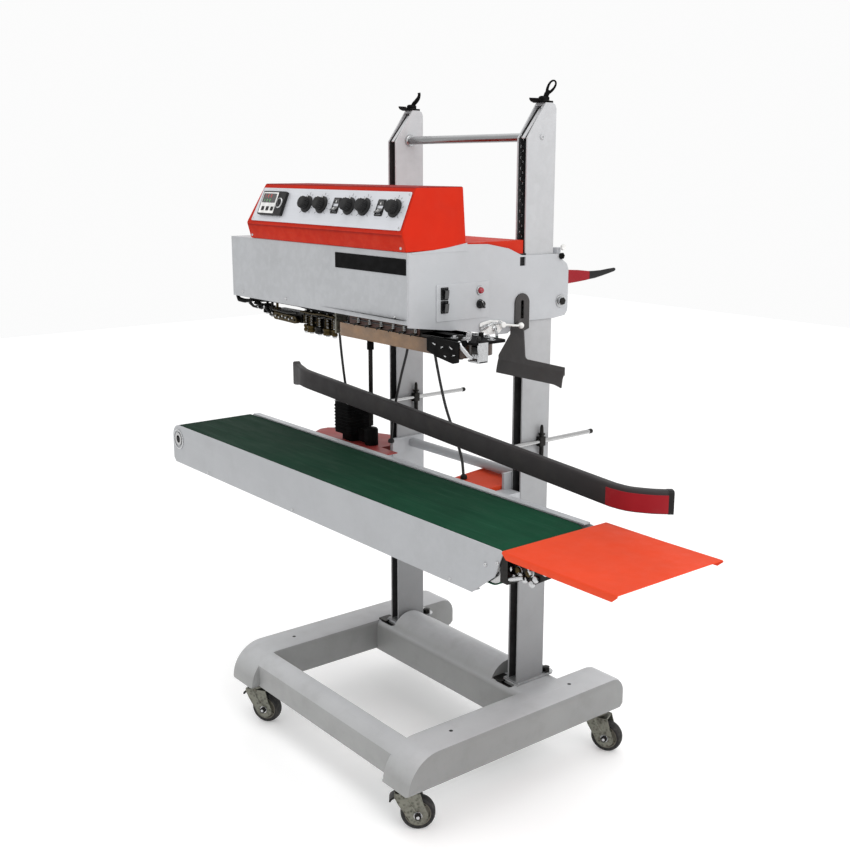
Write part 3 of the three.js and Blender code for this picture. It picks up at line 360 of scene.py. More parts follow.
# tie rod steel with a painted reflection: bright on top, its sides and underside darkened by half
TIE = add_painted_facing_shade(metal("steel_tie_rod", srgb(196, 197, 198), rough=0.24, stretch=(0.02, 1, 1), scale=500),
             face=(0.5, 0.5, 0.5, 1), top=(1, 1, 1, 1))
STEEL_Y = metal("steel_drawn_y", srgb(176, 176, 176), rough=0.22, stretch=(1, 0.02, 1), scale=500)
STEEL_Z = metal("steel_drawn_z", srgb(178, 178, 178), rough=0.26, stretch=(1, 1, 0.04), scale=400)
DARK_STEEL = metal("steel_black_oxide", srgb(44, 43, 42), rough=0.38, scale=240,
                   var=0.25, grime=0.3)
BRASS_DARK = metal("brass_tarnished", srgb(66, 56, 34), rough=0.38, scale=220,
                   var=0.35, grime=0.5)
ALU = metal("aluminium_satin", srgb(205, 207, 212), rough=0.4, stretch=(0.03, 1, 1), scale=600, var=0.04,
            grime=0.05, bump=0.00004, metallic=0.35)
ZINC = zinc_material()
BLACK = plastic("plastic_black", srgb(11, 11, 12), rough=0.5, spec=0.3)
BLACK_GLOSS = plastic("plastic_black_gloss", srgb(16, 16, 18), rough=0.18, grain=500, depth=0.00003,
                      var=0.1, coat=0.5)
GREY_PLASTIC = plastic("plastic_grey", srgb(104, 101, 90), rough=0.55)
OFF_WHITE = plastic("plastic_offwhite", srgb(222, 222, 220), rough=0.4)
RUBBER = rubber("rubber_black", srgb(26, 26, 26))
CABLE = plastic("cable_sheath", srgb(26, 26, 27), rough=0.5, grain=1400, depth=0.00006)
BELT = belt_material()
BAND = band_material()
SHIELD = metal("shield_browned", srgb(58, 34, 26), rough=0.45, scale=90, var=0.35,
               grime=0.5, bump=0.0001, metallic=0.4)


def lamp_material():
    m = Mat("lamp_red", 0.15, 0.0, 0.5, 0.4, 0.05)
    m.colour(m.ramp(m.noise(120, 2), [(0.3, srgb(124, 12, 28)), (0.7, srgb(160, 24, 44))]))
    m.bump(m.voronoi(700), 0.35, 0.0002)
    return m.m


def display_material(name, on):
    m = Mat(name, 0.2, 0.0, 0.5, 0.3, 0.05)
    m.colour(m.ramp(m.noise(200, 2), [(0.3, scaled(on, 0.8)), (0.7, on)]))
    m.roughness(m.span(m.noise(80, 2), 0.15, 0.25))
    return m.m


LAMP = lamp_material()
DIGIT = display_material("display_segments", srgb(236, 60, 40))
DIGIT_GREEN = display_material("display_segments_green", srgb(120, 220, 120))


# ------------------------------------------------------------------ shapes, in millimetres
def catmull(points, per):
    """Smooth curve through the points, with per samples to a stretch."""
    pts = [Vector(p) for p in points]
    ext = [pts[0] * 2 - pts[1], *pts, pts[-1] * 2 - pts[-2]]
    out = []
    for i in range(1, len(ext) - 2):
        a, b, c, d = ext[i - 1:i + 3]
        for k in range(per):
            t = k / per
            out.append(0.5 * ((2 * b) + (c - a) * t + (2 * a - 5 * b + 4 * c - d) * t * t
                              + (3 * b - a - 3 * c + d) * t ** 3))
    out.append(pts[-1])
    return out


def fillet(outline, radius, steps=5):
    """Rounds the corners of a closed 2-D outline; radius may be one number or one for each corner."""
    n = len(outline)
    out = []
    for i, p in enumerate(outline):
        r = radius[i] if isinstance(radius, (list, tuple)) else radius
        p, a, b = Vector(p), Vector(outline[i - 1]), Vector(outline[(i + 1) % n])
        u, v = (a - p), (b - p)
        lu, lv = u.length, v.length
        u, v = u / lu, v / lv
        half = math.acos(max(-1, min(1, u.dot(v)))) / 2
        if r <= 0 or half > math.pi / 2 - 0.02:
            out.append(p)
            continue
        cut = min(r / math.tan(half), lu * 0.48, lv * 0.48)
        r = cut * math.tan(half)
        centre = p + (u + v).normalized() * (r / math.sin(half))
        s, e = p + u * cut - centre, p + v * cut - centre
        a0 = math.atan2(s.y, s.x)
        turn = (math.atan2(e.y, e.x) - a0 + math.pi) % (2 * math.pi) - math.pi
        for k in range(steps + 1):
            t = a0 + turn * k / steps
            out.append(centre + Vector((math.cos(t), math.sin(t))) * r)
    return out


def prism(outline, h0, h1):
    """Outline in (a, b) pushed along the third axis."""
    n = len(outline)
    verts = [Vector((p[0], p[1], h0)) for p in outline] + [Vector((p[0], p[1], h1)) for p in outline]
    faces = [tuple(range(n))[::-1], tuple(range(n, 2 * n))]
    faces += [(i, (i + 1) % n, n + (i + 1) % n, n + i) for i in range(n)]
    return verts, faces


def around(n):
    """Angles of n even steps round a circle."""
    return [2 * math.pi * k / n for k in range(n)]


def star(n, radius):
    """Closed outline of n points round a centre; radius gives each one's distance from its number and angle."""
    return [(radius(k, a) * math.cos(a), radius(k, a) * math.sin(a)) for k, a in enumerate(around(n))]


def rounded(x, y, radius, steps=5):
    """Rectangle over two ranges with its corners rounded."""
    return fillet([(x[0], y[0]), (x[1], y[0]), (x[1], y[1]), (x[0], y[1])], radius, steps)


def box(x, y, z):
    return prism([(x[0], y[0]), (x[1], y[0]), (x[1], y[1]), (x[0], y[1])], *z)


def lathe(profile, segs=40, ring=False):
    """Profile of (radius, height) turned about Z. A profile off the axis is capped unless ring closes it."""
    verts, faces, rows = [], [], []
    for r, h in profile:
        if r < 1e-6:
            rows.append([len(verts)])
            verts.append(Vector((0, 0, h)))
        else:
            rows.append(list(range(len(verts), len(verts) + segs)))
            verts += [Vector((r * math.cos(2 * math.pi * k / segs), r * math.sin(2 * math.pi * k / segs), h))
                      for k in range(segs)]
    pairs = list(zip(rows, rows[1:])) + ([(rows[-1], rows[0])] if ring else [])
    for a, b in pairs:
        for k in range(segs):
            j = (k + 1) % segs
            if len(a) == 1 and len(b) == 1:
                continue
            if len(a) == 1:
                faces.append((a[0], b[j], b[k]))
            elif len(b) == 1:
                faces.append((a[k], a[j], b[0]))
            else:
                faces.append((a[k], a[j], b[j], b[k]))
    if not ring:
        if len(rows[0]) > 1:
            faces.append(tuple(rows[0])[::-1])
        if len(rows[-1]) > 1:
            faces.append(tuple(rows[-1]))
    return verts, faces


def tube(points, radius, sides=14, closed=False, squash=1.0):
    """Round bar along a line of points; radius may vary point by point."""
    pts = [Vector(p) for p in points]
    n = len(pts)
    tang = [((pts[(i + 1) % n] - pts[i - 1]) if closed or 0 < i < n - 1
             else (pts[1] - pts[0] if i == 0 else pts[-1] - pts[-2])).normalized() for i in range(n)]
    side = tang[0].orthogonal().normalized()
    verts, faces = [], []
    for i in range(n):
        if i:
            side = (side - tang[i] * side.dot(tang[i])).normalized()
        up = tang[i].cross(side)
        r = radius[i] if isinstance(radius, (list, tuple)) else radius
        verts += [pts[i] + side * r * math.cos(2 * math.pi * k / sides)
                  + up * r * squash * math.sin(2 * math.pi * k / sides) for k in range(sides)]
    for i in range(n if closed else n - 1):
        a, b = i * sides, ((i + 1) % n) * sides
        faces += [(a + k, a + (k + 1) % sides, b + (k + 1) % sides, b + k) for k in range(sides)]
    if not closed:
        faces += [tuple(range(sides))[::-1], tuple(range((n - 1) * sides, n * sides))]
    return verts, faces


def moved(shape, matrix):
    """The shape carried by a matrix."""
    verts, faces = shape
    return [matrix @ v for v in verts], faces


def to(x, y, z=0):
    """Matrix that carries a shape to a point."""
    return Matrix.Translation((x, y, z))


def frame_at(origin, axis, side=None):
    """Matrix that takes +Z to the axis, with +X as near to side as it can be."""
    z = Vector(axis).normalized()
    x = Vector(side) if side else z.orthogonal()
    x = (x - z * x.dot(z)).normalized()
    y = z.cross(x)
    m = Matrix((x, y, z)).transposed().to_4x4()
    m.translation = Vector(origin)
    return m


def yz_x(shape_outline, x0, x1):
    """Outline in (y, z) pushed from x0 to x1."""
    v, f = prism(shape_outline, x0, x1)
    return [Vector((p.z, p.x, p.y)) for p in v], f


def xz_y(shape_outline, y0, y1):
    """Outline in (x, z) pushed from y0 to y1."""
    v, f = prism(shape_outline, y0, y1)
    return [Vector((p.x, p.z, p.y)) for p in v], f


def disc(radius, h0, h1, edge=0.6, segs=32):
    """Round plate with broken edges."""
    return lathe([(0, h0), (radius - edge, h0), (radius, h0 + edge), (radius, h1 - edge), (radius - edge, h1),
                  (0, h1)], segs)


def hexagon(across, h0, h1):
    """Hexagonal bar, measured across its flats."""
    return prism(star(6, lambda k, a: across / math.sqrt(3)), h0, h1)


def helix(radius, wire, pitch, turns, h0, sides=8, per=18):
    """Coil spring of round wire, standing on h0."""
    n = int(turns * per)
    return tube([(radius * math.cos(2 * math.pi * k / per), radius * math.sin(2 * math.pi * k / per),
                  h0 + pitch * k / per) for k in range(n + 1)], wire, sides)


def skin(rows, caps=True):
    """Surface through rows of points, each row a closed ring."""
    n = len(rows[0])
    verts = [v for row in rows for v in row]
    faces = []
    for i in range(len(rows) - 1):
        a, b = i * n, (i + 1) * n
        faces += [(a + k, a + (k + 1) % n, b + (k + 1) % n, b + k) for k in range(n)]
    if caps:
        faces.append(tuple(range(n))[::-1])
        faces.append(tuple(range((len(rows) - 1) * n, len(rows) * n)))
    return verts, faces


TO_FRONT, TO_REAR = (0, -1, 0), (0, 1, 0)
TO_LEFT, TO_RIGHT = (-1, 0, 0), (1, 0, 0)
UP = (0, 0, 1)


class Piece:
    """One visible piece: shapes in several materials that ride together on one body."""

    def __init__(self, name, body, slot=None):
        self.name, self.body, self.slot = name, body, slot
        self.verts, self.faces, self.index, self.mats = [], [], [], []

    def add(self, shape, mat, matrix=None):
        if matrix is not None:
            shape = moved(shape, matrix)
        verts, faces = shape
        if mat not in self.mats:
            self.mats.append(mat)
        base = len(self.verts)
        self.verts += [place(v) for v in verts]
        self.faces += [tuple(base + i for i in f) for f in faces]
        self.index += [self.mats.index(mat)] * len(faces)
        return self

    def bolt(self, origin, axis, across=10, head=5, mat=None, washer=True, side=None):
        """Hex head with its chamfer, and a washer under it."""
        m = frame_at(origin, axis, side)
        mat = mat or DARK_STEEL
        if washer:
            self.add(disc(across * 0.98, 0, 1.2, 0.3, 28), STEEL, m)
        base = 1.2 if washer else 0
        self.add(hexagon(across, base, base + head), mat, m)
        self.add(lathe([(0, base + head - 0.1), (across * 0.42, base + head - 0.1),
                        (across * 0.36, base + head + 0.6), (0, base + head + 0.6)], 20), mat, m)
        return self

    def screw(self, origin, axis, r, mat=None):
        """Pan head with a dished middle."""
        head = [(0, 0), (r, 0), (r, r * 0.25), (r * 0.82, r * 0.5), (r * 0.45, r * 0.6), (r * 0.3, r * 0.28),
                (0, r * 0.22)]
        self.add(lathe(head, 24), mat or STEEL, frame_at(origin, axis) @ Matrix.Rotation(0.3, 4, "Z"))
        return self

    def done(self, bevel=0.5, segments=2, limit=38, smooth=38, replaces=()):
        """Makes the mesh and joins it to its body."""
        mesh = bpy.data.meshes.new(self.name)
        mesh.from_pydata([tuple(v) for v in self.verts], [], self.faces)
        mesh.validate()
        for m in self.mats:
            mesh.materials.append(m)
        if len(mesh.polygons) == len(self.index):
            mesh.polygons.foreach_set("material_index", self.index)
        bm = bmesh.new()
        bm.from_mesh(mesh)
        bmesh.ops.recalc_face_normals(bm, faces=bm.faces)
        bm.to_mesh(mesh)
        bm.free()
        o = bpy.data.objects.new(self.name, mesh)
        bpy.context.scene.collection.objects.link(o)
        finish_surface(o, bevel, segments, limit, smooth)
        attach(o, self.body)
        if replaces:
            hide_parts(*replaces)
        return o


def finish_surface(o, bevel, segments, limit, smooth):
    """Smooth shading up to an angle, and edges sharper than limit beveled, in millimetres and degrees."""
    o.data.polygons.foreach_set("use_smooth", [True] * len(o.data.polygons))
    o.data.set_sharp_from_angle(angle=math.radians(smooth))
    if bevel:
        b = o.modifiers.new("Bevel", "BEVEL")
        b.width = bevel / 1000
        b.segments = segments
        b.limit_method = "ANGLE"
        b.angle_limit = math.radians(limit)
        b.harden_normals = True
        b.use_clamp_overlap = True


def remake(node, mat, bevel=0.8, segments=2, limit=32, smooth=32):
    """The CAD node's own shape, cleaned of its triangles, with soft edges and a finish."""
    mesh = NODES[node].data.copy()
    mesh.name = node + "_skin"
    mesh.materials.clear()
    mesh.materials.append(mat)
    bm = bmesh.new()
    bm.from_mesh(mesh)
    bmesh.ops.remove_doubles(bm, verts=bm.verts, dist=2e-6)
    bmesh.ops.dissolve_limit(bm, angle_limit=math.radians(0.4), verts=bm.verts, edges=bm.edges)
    bmesh.ops.recalc_face_normals(bm, faces=bm.faces)
    for f in bm.faces:
        f.material_index = 0
    bm.to_mesh(mesh)
    bm.free()
    if mesh.has_custom_normals:
        mesh.attributes.remove(mesh.attributes["custom_normal"])
    o = bpy.data.objects.new(node + "_skin", mesh)
    bpy.context.scene.collection.objects.link(o)
    finish_surface(o, bevel, segments, limit, smooth)
    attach(o, NODE_BODY[node])
    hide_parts(node)
    return o


# ------------------------------------------------------------------ base and casters
COLUMN = {"left": -269.0, "right": 171.0}     # X of the columns' middles
TIE_Y, TIE_Z = 110, 1377
SCREW_Y = 128
BEAD_STEPS = 60
remake("base_frame", BASE_GREY, 2.2, 3)
p = Piece("base_fittings", "base", "grey_paint")
for x in (259, -349):
    for y in (-182, 163):
        p.add(disc(4.4, 180, 184.4, 0.8, 24), BLACK, to(x, y))
for side, x in COLUMN.items():
    for dx in (-14, 14):
        p.bolt((x + dx, 162, 190.4), UP, 16, 9, DARK_STEEL, True, (1, 0.2, 0))
    # black plate in the slot and dark shoe in front of the foot: painted shade for the dark opening there
    p.add(prism(rounded((x - 36.6, x + 16.6), (49.6, 64.8), 7), 174.4, 178), BLACK)
    shoe = [(x - 43, 50), (x - 14, 50), (x - 14, 63.6), (x - 25, 63.6), (x - 25, 84), (x - 43, 84)]
    p.add(prism(fillet(shoe, 2.5, 3), 183.6, 186.8), DARK_STEEL)
    # weld bead round the foot flange
    bead = []
    for k in range(BEAD_STEPS + 1):
        t = k / BEAD_STEPS
        wob = 0.5 * math.sin(k * 2.4) + 0.3 * math.sin(k * 5.1)
        bead.append((x - 24.4 + 48.8 * t, 65.2 + 0.2 * wob, 184.6 + 0.2 * wob))
    # the left bead takes the lighter head grey, free of the base's painted shade: a painted highlight
    fat = 2.6 if side == "left" else 1.7
    widths = [fat + 0.25 * math.sin(k * 2.1) for k in range(BEAD_STEPS + 1)]
    p.add(tube(bead, widths, 8), HEAD_GREY if side == "left" else BASE_GREY)
p.done(0.35, 2)

CASTER_R = 36.0
TRAIL = 26.0         # of the axle behind the swivel
CASTERS = {"front_right": (245, -291, 52), "rear_right": (261, 255, 25), "front_left": (-349, -290, 30),
           "rear_left": (-349, 255, 60)}


def arc(cx, cy, r, a0, a1, n):
    """Points on an arc, its angles in degrees."""
    return [(cx + r * math.cos(math.radians(a0 + (a1 - a0) * k / n)),
             cy + r * math.sin(math.radians(a0 + (a1 - a0) * k / n))) for k in range(n + 1)]


for key, (cx, cy, angle) in CASTERS.items():
    m = to(cx, cy) @ Matrix.Rotation(math.radians(angle), 4, "Z")
    fork = Piece("caster_fork_" + key + "_detail", "caster_fork_" + key, "zinc")
    # swivel race and crown
    fork.add(lathe([(0, 99.6), (24, 99.6), (25, 98.4), (25, 95.5), (21.5, 94), (23.5, 92.5), (23.5, 89),
                    (20, 87), (19, 84.5), (0, 84.5)], 44), ZINC, m)
    crown = rounded((-22, 30), (-19, 19), [12, 5, 5, 12], 5)
    fork.add(prism(crown, 80.5, 85), ZINC, m)
    cheek = [(-22, 85), (-22, 77), (-14, 60), *arc(TRAIL, CASTER_R, 21, 200, 372, 14), (38, 60), (33, 77),
             (31, 85)]
    for s in (-1, 1):
        y0, y1 = (-18.4, -15.6) if s < 0 else (15.6, 18.4)
        fork.add(xz_y(fillet(cheek, 2.5, 3), y0, y1), ZINC, m)
        # pressed rib and axle bolt
        rib = tube([(0, s * 18.6, 80), (10, s * 18.9, 62), (21, s * 18.9, 47)], 2.2, 10, False, 0.6)
        fork.add(rib, ZINC, m)
        b = m @ frame_at((TRAIL, s * 18.3, CASTER_R), (0, s, 0))
        fork.add(disc(9, 0, 1.4, 0.3, 26), STEEL, b)
        fork.add(hexagon(13, 1.4, 7), DARK_STEEL if s < 0 else STEEL, b)
        fork.add(disc(3.6, 6.8, 9, 0.5, 18), STEEL, b)
    fork.add(hexagon(15, 74, 80.5), DARK_STEEL, m)
    if key.startswith("front"):
        # brake pedal and its spring plate
        pedal = [(-20, 78), (-31, 70), (-33, 64), (-30, 63), (-27, 68), (-17, 74)]
        fork.add(xz_y(pedal, -13, 13), DARK_STEEL, m)
        fork.add(xz_y([(-17, 72), (-6, 75), (-6, 77), (-18, 75)], -9, 9), ZINC, m)
    fork.done(0.5, 2, replaces=["caster_fork_" + key])

    wheel = Piece("caster_wheel_" + key + "_detail", "caster_wheel_" + key, "wheel_rubber")
    w = m @ frame_at((TRAIL, 0, CASTER_R), TO_REAR)
    R = CASTER_R
    tyre = [(R - 9, -11.2), (R - 4, -11.6), (R - 1.4, -9.5), (R - 0.2, -5), (R, 0), (R - 0.2, 5),
            (R - 1.4, 9.5), (R - 4, 11.6), (R - 9, 11.2)]
    wheel.add(lathe(tyre, 64, True), RUBBER, w)
    hub = [(5.2, -13), (10.5, -13), (10.5, -7), (R - 12, -5.5), (R - 11, -10.4), (R - 8.6, -10.8),
           (R - 8.6, 10.8), (R - 11, 10.4), (R - 12, 5.5), (10.5, 7), (10.5, 13), (5.2, 13)]
    wheel.add(lathe(hub, 48, True), GREY_PLASTIC, w)
    for s in (-1, 1):
        for a in around(5):
            q = Matrix.Rotation(a, 4, "Z") @ to(0, 0, s * 8.2)
            wheel.add(box((10, R - 11.5), (-1.3, 1.3), (-2.4, 2.4)), GREY_PLASTIC, w @ q)
        wheel.add(lathe([(5.2, s * 12.6), (9, s * 12.6), (9, s * 14.2), (5.2, s * 14.2)], 30, True), STEEL, w)
    wheel.done(0.3, 2, replaces=["caster_wheel_" + key])

# ------------------------------------------------------------------ columns, lift screws, tie rod
for side, x in COLUMN.items():
    remake("column_" + side, GREY, 0.9, 2)
    p = Piece("column_" + side + "_fittings", "base", "grey_paint")
    inner = [(71.2, 192), (145.9, 192), (145.9, 1436), (121.5, 1436), (71.2, 1374)]
    # dark sheets over the channel's inner walls: painted shade for its dark inside
    p.add(yz_x(inner, x - 11.45, x - 11.0), CHANNEL_SHADE)
    p.add(yz_x(inner, x + 11.0, x + 11.45), CHANNEL_SHADE)
    p.add(box((x - 11.0, x + 11.0), (145.5, 146.3), (192, 1436)), CHANNEL_SHADE)
    # grey cover strip over the slanted opening, its lower end hooked in
    strip = [(73.2, 1373.5), (72.4, 1375.6), (119.6, 1433.8), (121.6, 1432.4)]
    p.add(yz_x(strip, x - 4.6, x + 4.6), GREY)
    # bearing plate for the screw, its flange leaning out at the front
    plate = rounded((x - 13, x + 13), (108, 146), [3, 3, 7, 7])
    p.add(prism(plate, 1444.9, 1448.9), BLACK_PAINT)
    # its front edge is bent up and its left corner lifted
    wing = [[(x - 15, 101, 1453.4), (x + 13, 101, 1451.4)], [(x - 14.4, 104, 1449.6), (x + 13, 104, 1449)],
            [(x - 13, 109, 1447.4), (x + 13, 109, 1447.4)]]
    rows = []
    for (ax, ay, az), (bx, by, bz) in wing:
        rows.append([Vector((ax, ay, az - 1.7)), Vector((bx, by, bz - 1.7)), Vector((bx, by, bz + 1.7)),
                     Vector((ax, ay, az + 1.7))])
    p.add(skin(rows), BLACK_PAINT)
    p.add(lathe([(8.4, 1448.1), (11.5, 1448.1), (11.5, 1450.4), (8.4, 1450.4)], 30, True), DARK_STEEL,
          to(x, SCREW_Y))
    if side == "right":
        # row of bright S-shaped wire marks on the inner wall: painted glints
        for k in range(10):
            z = 1182 + 21.5 * k
            painted_glint = catmull([(x - 11.2, 84, z + 8), (x - 10.9, 77, z + 6), (x - 10.85, 77.5, z + 1),
                             (x - 10.85, 83, z - 2), (x - 10.9, 82.5, z - 7), (x - 11.2, 75, z - 8.5)], 4)
            p.add(tube(painted_glint, 0.65, 8), STEEL)
    # screw heads of the tie rod
    for s in (-1, 1):
        p.screw((x + s * 15.1, TIE_Y, TIE_Z), (s, 0, 0), 5.5, GREY)
    p.done(0.3, 2)

p = Piece("tie_rod_detail", "base", "bright_steel")
p.add(lathe([(0, 0), (8.2, 0), (9, 1), (9, 408.4), (8.2, 409.4), (0, 409.4)], 40), TIE,
      frame_at((-253.7, TIE_Y, TIE_Z), TO_RIGHT))
for x, s in ((-253.6, 1), (155.6, -1)):
    p.add(lathe([(9, 0), (13, 0), (13, 5), (11.5, 7), (9, 7)], 36, True), STEEL,
          frame_at((x, TIE_Y, TIE_Z), (s, 0, 0)))
p.done(0.25, 2, replaces=["tie_rod"])


def thread(r_root, r_crest, pitch, z0, z1, per=22):
    """Trapezoidal screw thread as one ribbon with its root."""
    turns = (z1 - z0) / pitch
    n = int(turns * per)
    prof = [(r_root, 0.0), (r_root, 0.34), (r_crest, 0.46), (r_crest, 0.88)]
    verts, faces = [], []
    for i in range(n + 1):
        a = 2 * math.pi * i / per
        for r, f in prof:
            z = z0 + pitch * (i / per + f)
            verts.append(Vector((r * math.cos(a), r * math.sin(a), z)))
    for i in range(n):
        for k in range(3):
            a = i * 4 + k
            faces.append((a, a + 4, a + 5, a + 1))
        if i + per <= n:
            # the last edge meets the first edge one turn on
            a, b = i * 4 + 3, (i + per) * 4
            faces.append((a, a + 4, b + 4, b) if (i + per + 1) <= n else (a, a + 4, b))
    return verts, faces


CRANK_TURN = 0.62    # radians about the screw, at rest
for side, x in COLUMN.items():
    p = Piece("lift_screw_" + side + "_detail", "lift_screw_" + side, "bright_steel")
    at = to(x, SCREW_Y)
    p.add(lathe([(0, 880), (4.6, 880), (5.4, 882), (5.4, 1438), (0, 1438)], 24), STEEL_Z, at)
    p.add(thread(5.35, 7.0, 10.0, 884, 1424), STEEL_Z, at)
    p.add(lathe([(0, 1432), (6.6, 1432), (6.6, 1456), (5.2, 1458), (0, 1458)], 28), STEEL, at)
    p.add(lathe([(0, 1450.8), (10.5, 1450.8), (11.2, 1451.6), (11.2, 1455.5), (9, 1458), (6.8, 1458.6),
                 (0, 1458.6)], 32), BLACK_PAINT, at)
    turn = at @ Matrix.Rotation(CRANK_TURN, 4, "Z") @ to(0, 0, 1453)
    lean = Vector((0.62, 0, 1)).normalized()
    tilt = Vector(UP).rotation_difference(lean).to_matrix().to_4x4()
    if side == "left":
        # bent lever, thick in the middle, its end turned over
        lever = [(0, 0, 0), (0.6, 0, 8), (2.6, 0, 17), (3.4, 0, 26), (1.4, 0, 33), (-1.6, 0, 36.5)]
        p.add(tube(catmull(lever, 6), [3.4 + 1.5 * math.sin(math.pi * min(1, k / 22)) for k in range(31)],
                   14), BLACK_PAINT, turn @ tilt)
    else:
        # thick waist carrying a tall narrow eye
        waist = [(0, 0), (3.2, 0), (4.0, 4), (5.4, 10), (5.0, 15), (3.4, 19), (0, 20)]
        p.add(lathe(waist, 22), BLACK_PAINT, turn @ tilt)
        ring = [((6.2 + 1.6 * math.sin(a)) * math.cos(a), 0, 27 + 13.5 * math.sin(a)) for a in around(44)]
        thick = [2.5 - 0.7 * math.sin(a) for a in around(44)]
        p.add(tube(ring, thick, 12, True), BLACK_PAINT, turn @ tilt)
    p.done(0, replaces=["lift_screw_" + side])

# ------------------------------------------------------------------ conveyor
remake("conveyor_frame", WHITE, 0.9, 2)
remake("conveyor_belt", BELT, 0.25, 1, 60, 40)
for end in ("infeed", "outfeed"):
    remake("drum_" + end, STEEL_Y, 0.4, 2, 40, 40)
INFEED_X, DRUM_Z = -756, 623     # axis of the infeed drum
p = Piece("conveyor_fittings", "base", "bright_steel")
for x, z, r in ((456, 623, 4.2), (488, 634, 4.2), (356, 566, 3.4), (-600, 566, 3.4), (-200, 566, 3.4)):
    p.screw((x, -268.1, z), TO_FRONT, r, STEEL)
for x, z, r in ((456, 623, 4.2), (488, 634, 4.2), (-600, 566, 3.4), (-200, 566, 3.4), (200, 566, 3.4)):
    p.screw((x, -32.9, z), TO_REAR, r, STEEL)
for y, s in ((-268, -1), (-33, 1)):
    p.add(lathe([(22.4, 0), (26.4, 0), (26.4, 1.6), (25.4, 2.6), (23.2, 2.6), (22.4, 1.8)], 56, True), STEEL,
          frame_at((INFEED_X, y, DRUM_Z), (0, s, 0)))
for x in COLUMN.values():
    for z in (600, 622):
        p.bolt((x - 12, -32.6, z), TO_REAR, 9, 4, DARK_STEEL)
p.done(0.2, 2)

# tray: folded sheet with rounded corners, on a bright bracket
TRAY_X, TRAY_Y, TRAY_TOP = (507, 775), (-276, -8), 664
p = Piece("outfeed_tray_sheet", "base", "red_paint")
x0, x1 = TRAY_X
y0, y1 = TRAY_Y


def folded_sheet(x0, x1, y0, y1, top, lip, sheet, ear, sag):
    """Sheet with its two long sides folded down, the lips cut back slantwise at their ends."""
    rows = []
    stations = [x0, x0 + 3, x0 + ear, (x0 + x1) / 2, x1 - ear, x1 - 3, x1 - 0.8, x1]
    for x in stations:
        reach = min(1.0, min(x - x0, x1 - x) / ear)
        drop = 4.5 + (lip - 4.5) * reach
        pinch = 0.5 if x in (x0, x1) else 0.0
        d = sag * math.sin(math.pi * (x - x0) / (x1 - x0))
        outer, inner = [], []
        r = 3.6
        for k in range(6):
            a = math.pi / 2 * k / 5
            outer.append((y0 + r - r * math.cos(a), top - d - r + r * math.sin(a) - pinch))
            inner.append((y0 + r - (r - sheet) * math.cos(a),
                          top - d - r + (r - sheet) * math.sin(a) + pinch * 0.4))
        half = [(y0, top - drop)] + outer
        under = [(y0 + sheet, top - drop)] + inner
        ring = half + [(y0 + y1 - y, z) for y, z in half[::-1]]
        ring += [(y0 + y1 - y, z) for y, z in under] + under[::-1]
        rows.append([Vector((x, q[0], q[1])) for q in ring])
    return skin(rows)


p.add(folded_sheet(x0, x1, y0, y1, TRAY_TOP, 14, 1.8, 11, 0.8), TRAY_RED)
p.done(0, smooth=50, replaces=["outfeed_tray"])
p = Piece("outfeed_tray_bracket", "base", "bright_steel")
side = [(x0 + 2, 612), (x0 + 60, 614), (x0 + 118, 648), (x0 + 118, 655), (x0 + 2, 655)]
for y in (y0 + 24, y1 - 47):
    p.add(xz_y(fillet(side, 4, 3), y, y + 3), DARK_STEEL)
    for dx, dz in ((20, 628), (50, 634), (84, 645)):
        p.bolt((x0 + dx, y - 0.1, dz), TO_FRONT, 9, 4, STEEL)
p.add(box((x0 - 14, x0 + 5), (y0 + 10, y1 - 44), (600, 650)), DARK_STEEL)
for k in range(9):
    pin_y = y0 + (21.9 if k < 2 else 23.4)
    p.add(lathe([(0, 0), (5.5, 0), (6.5, 1), (6.5, 4), (4, 6), (0, 6.4)], 20), STEEL if k % 3 else BRASS_DARK,
          frame_at((x0 - 8 + 9 * k, pin_y, 622 + 9 * math.sin(2.4 * k)), TO_FRONT))
p.add(tube([(x0 - 12, y0 + 16, 604), (x0 + 12, y0 + 15, 612), (x0 + 40, y0 + 17, 622)], 4.5, 12), STEEL)
p.add(box((x0 + 6, x0 + 118), (y0 + 22, y0 + 40), (652.5, 655.5)), ZINC)
p.add(box((x0 + 6, x0 + 118), (y1 - 58, y1 - 44), (652.5, 655.5)), ZINC)
for y in (y0 + 60, y0 + 118, y0 + 176):
    p.add(tube([(x0 + 5, y, 622), (x0 + 22, y, 620), (x0 + 34, y, 630), (x0 + 30, y, 642), (x0 + 12, y, 640)],
               3.2, 12), STEEL)
    p.bolt((x0 + 4.8, y + 22, 634), TO_RIGHT, 10, 5, STEEL)
p.done(0.4, 2)

# the left shelf takes the darker red, painted shade; the right one the lit red
remake("shelf_left", SHADED_SHELF_RED, 1.0, 2)
remake("shelf_right", TRAY_RED, 1.0, 2)

# drive motor and gearbox, and the shaft that goes up to the head
SHELF_TOP = 643.4
SHAFT = (-330, 46)
p = Piece("drive_gearbox_detail", "base", "black_metal")
body = rounded((-438, -372), (8, 80), 7, 5)
p.add(prism(body, 663, 742), BLACK_PAINT)
p.add(prism(rounded((-428, -382), (24, 74), 4, 4), SHELF_TOP, 665), BLACK_PAINT)
for k in range(8):
    z = 670 + 8.5 * k
    fin = rounded((-439.6, -370.4), (6.4, 81.6), 8, 5)
    p.add(prism(fin, z, z + 3.2), BLACK_PAINT)
p.add(prism(rounded((-430, -380), (16, 72), 9, 5), 741, 747), BLACK_PAINT)
p.add(prism(rounded((-373, -322), (34, 58), 6, 4), 648, 680), BLACK_PAINT)
p.add(lathe([(0, SHELF_TOP), (17, SHELF_TOP), (17, 682), (14, 686), (9, 687.6), (0, 687.6)], 40), BLACK_PAINT,
      to(*SHAFT))
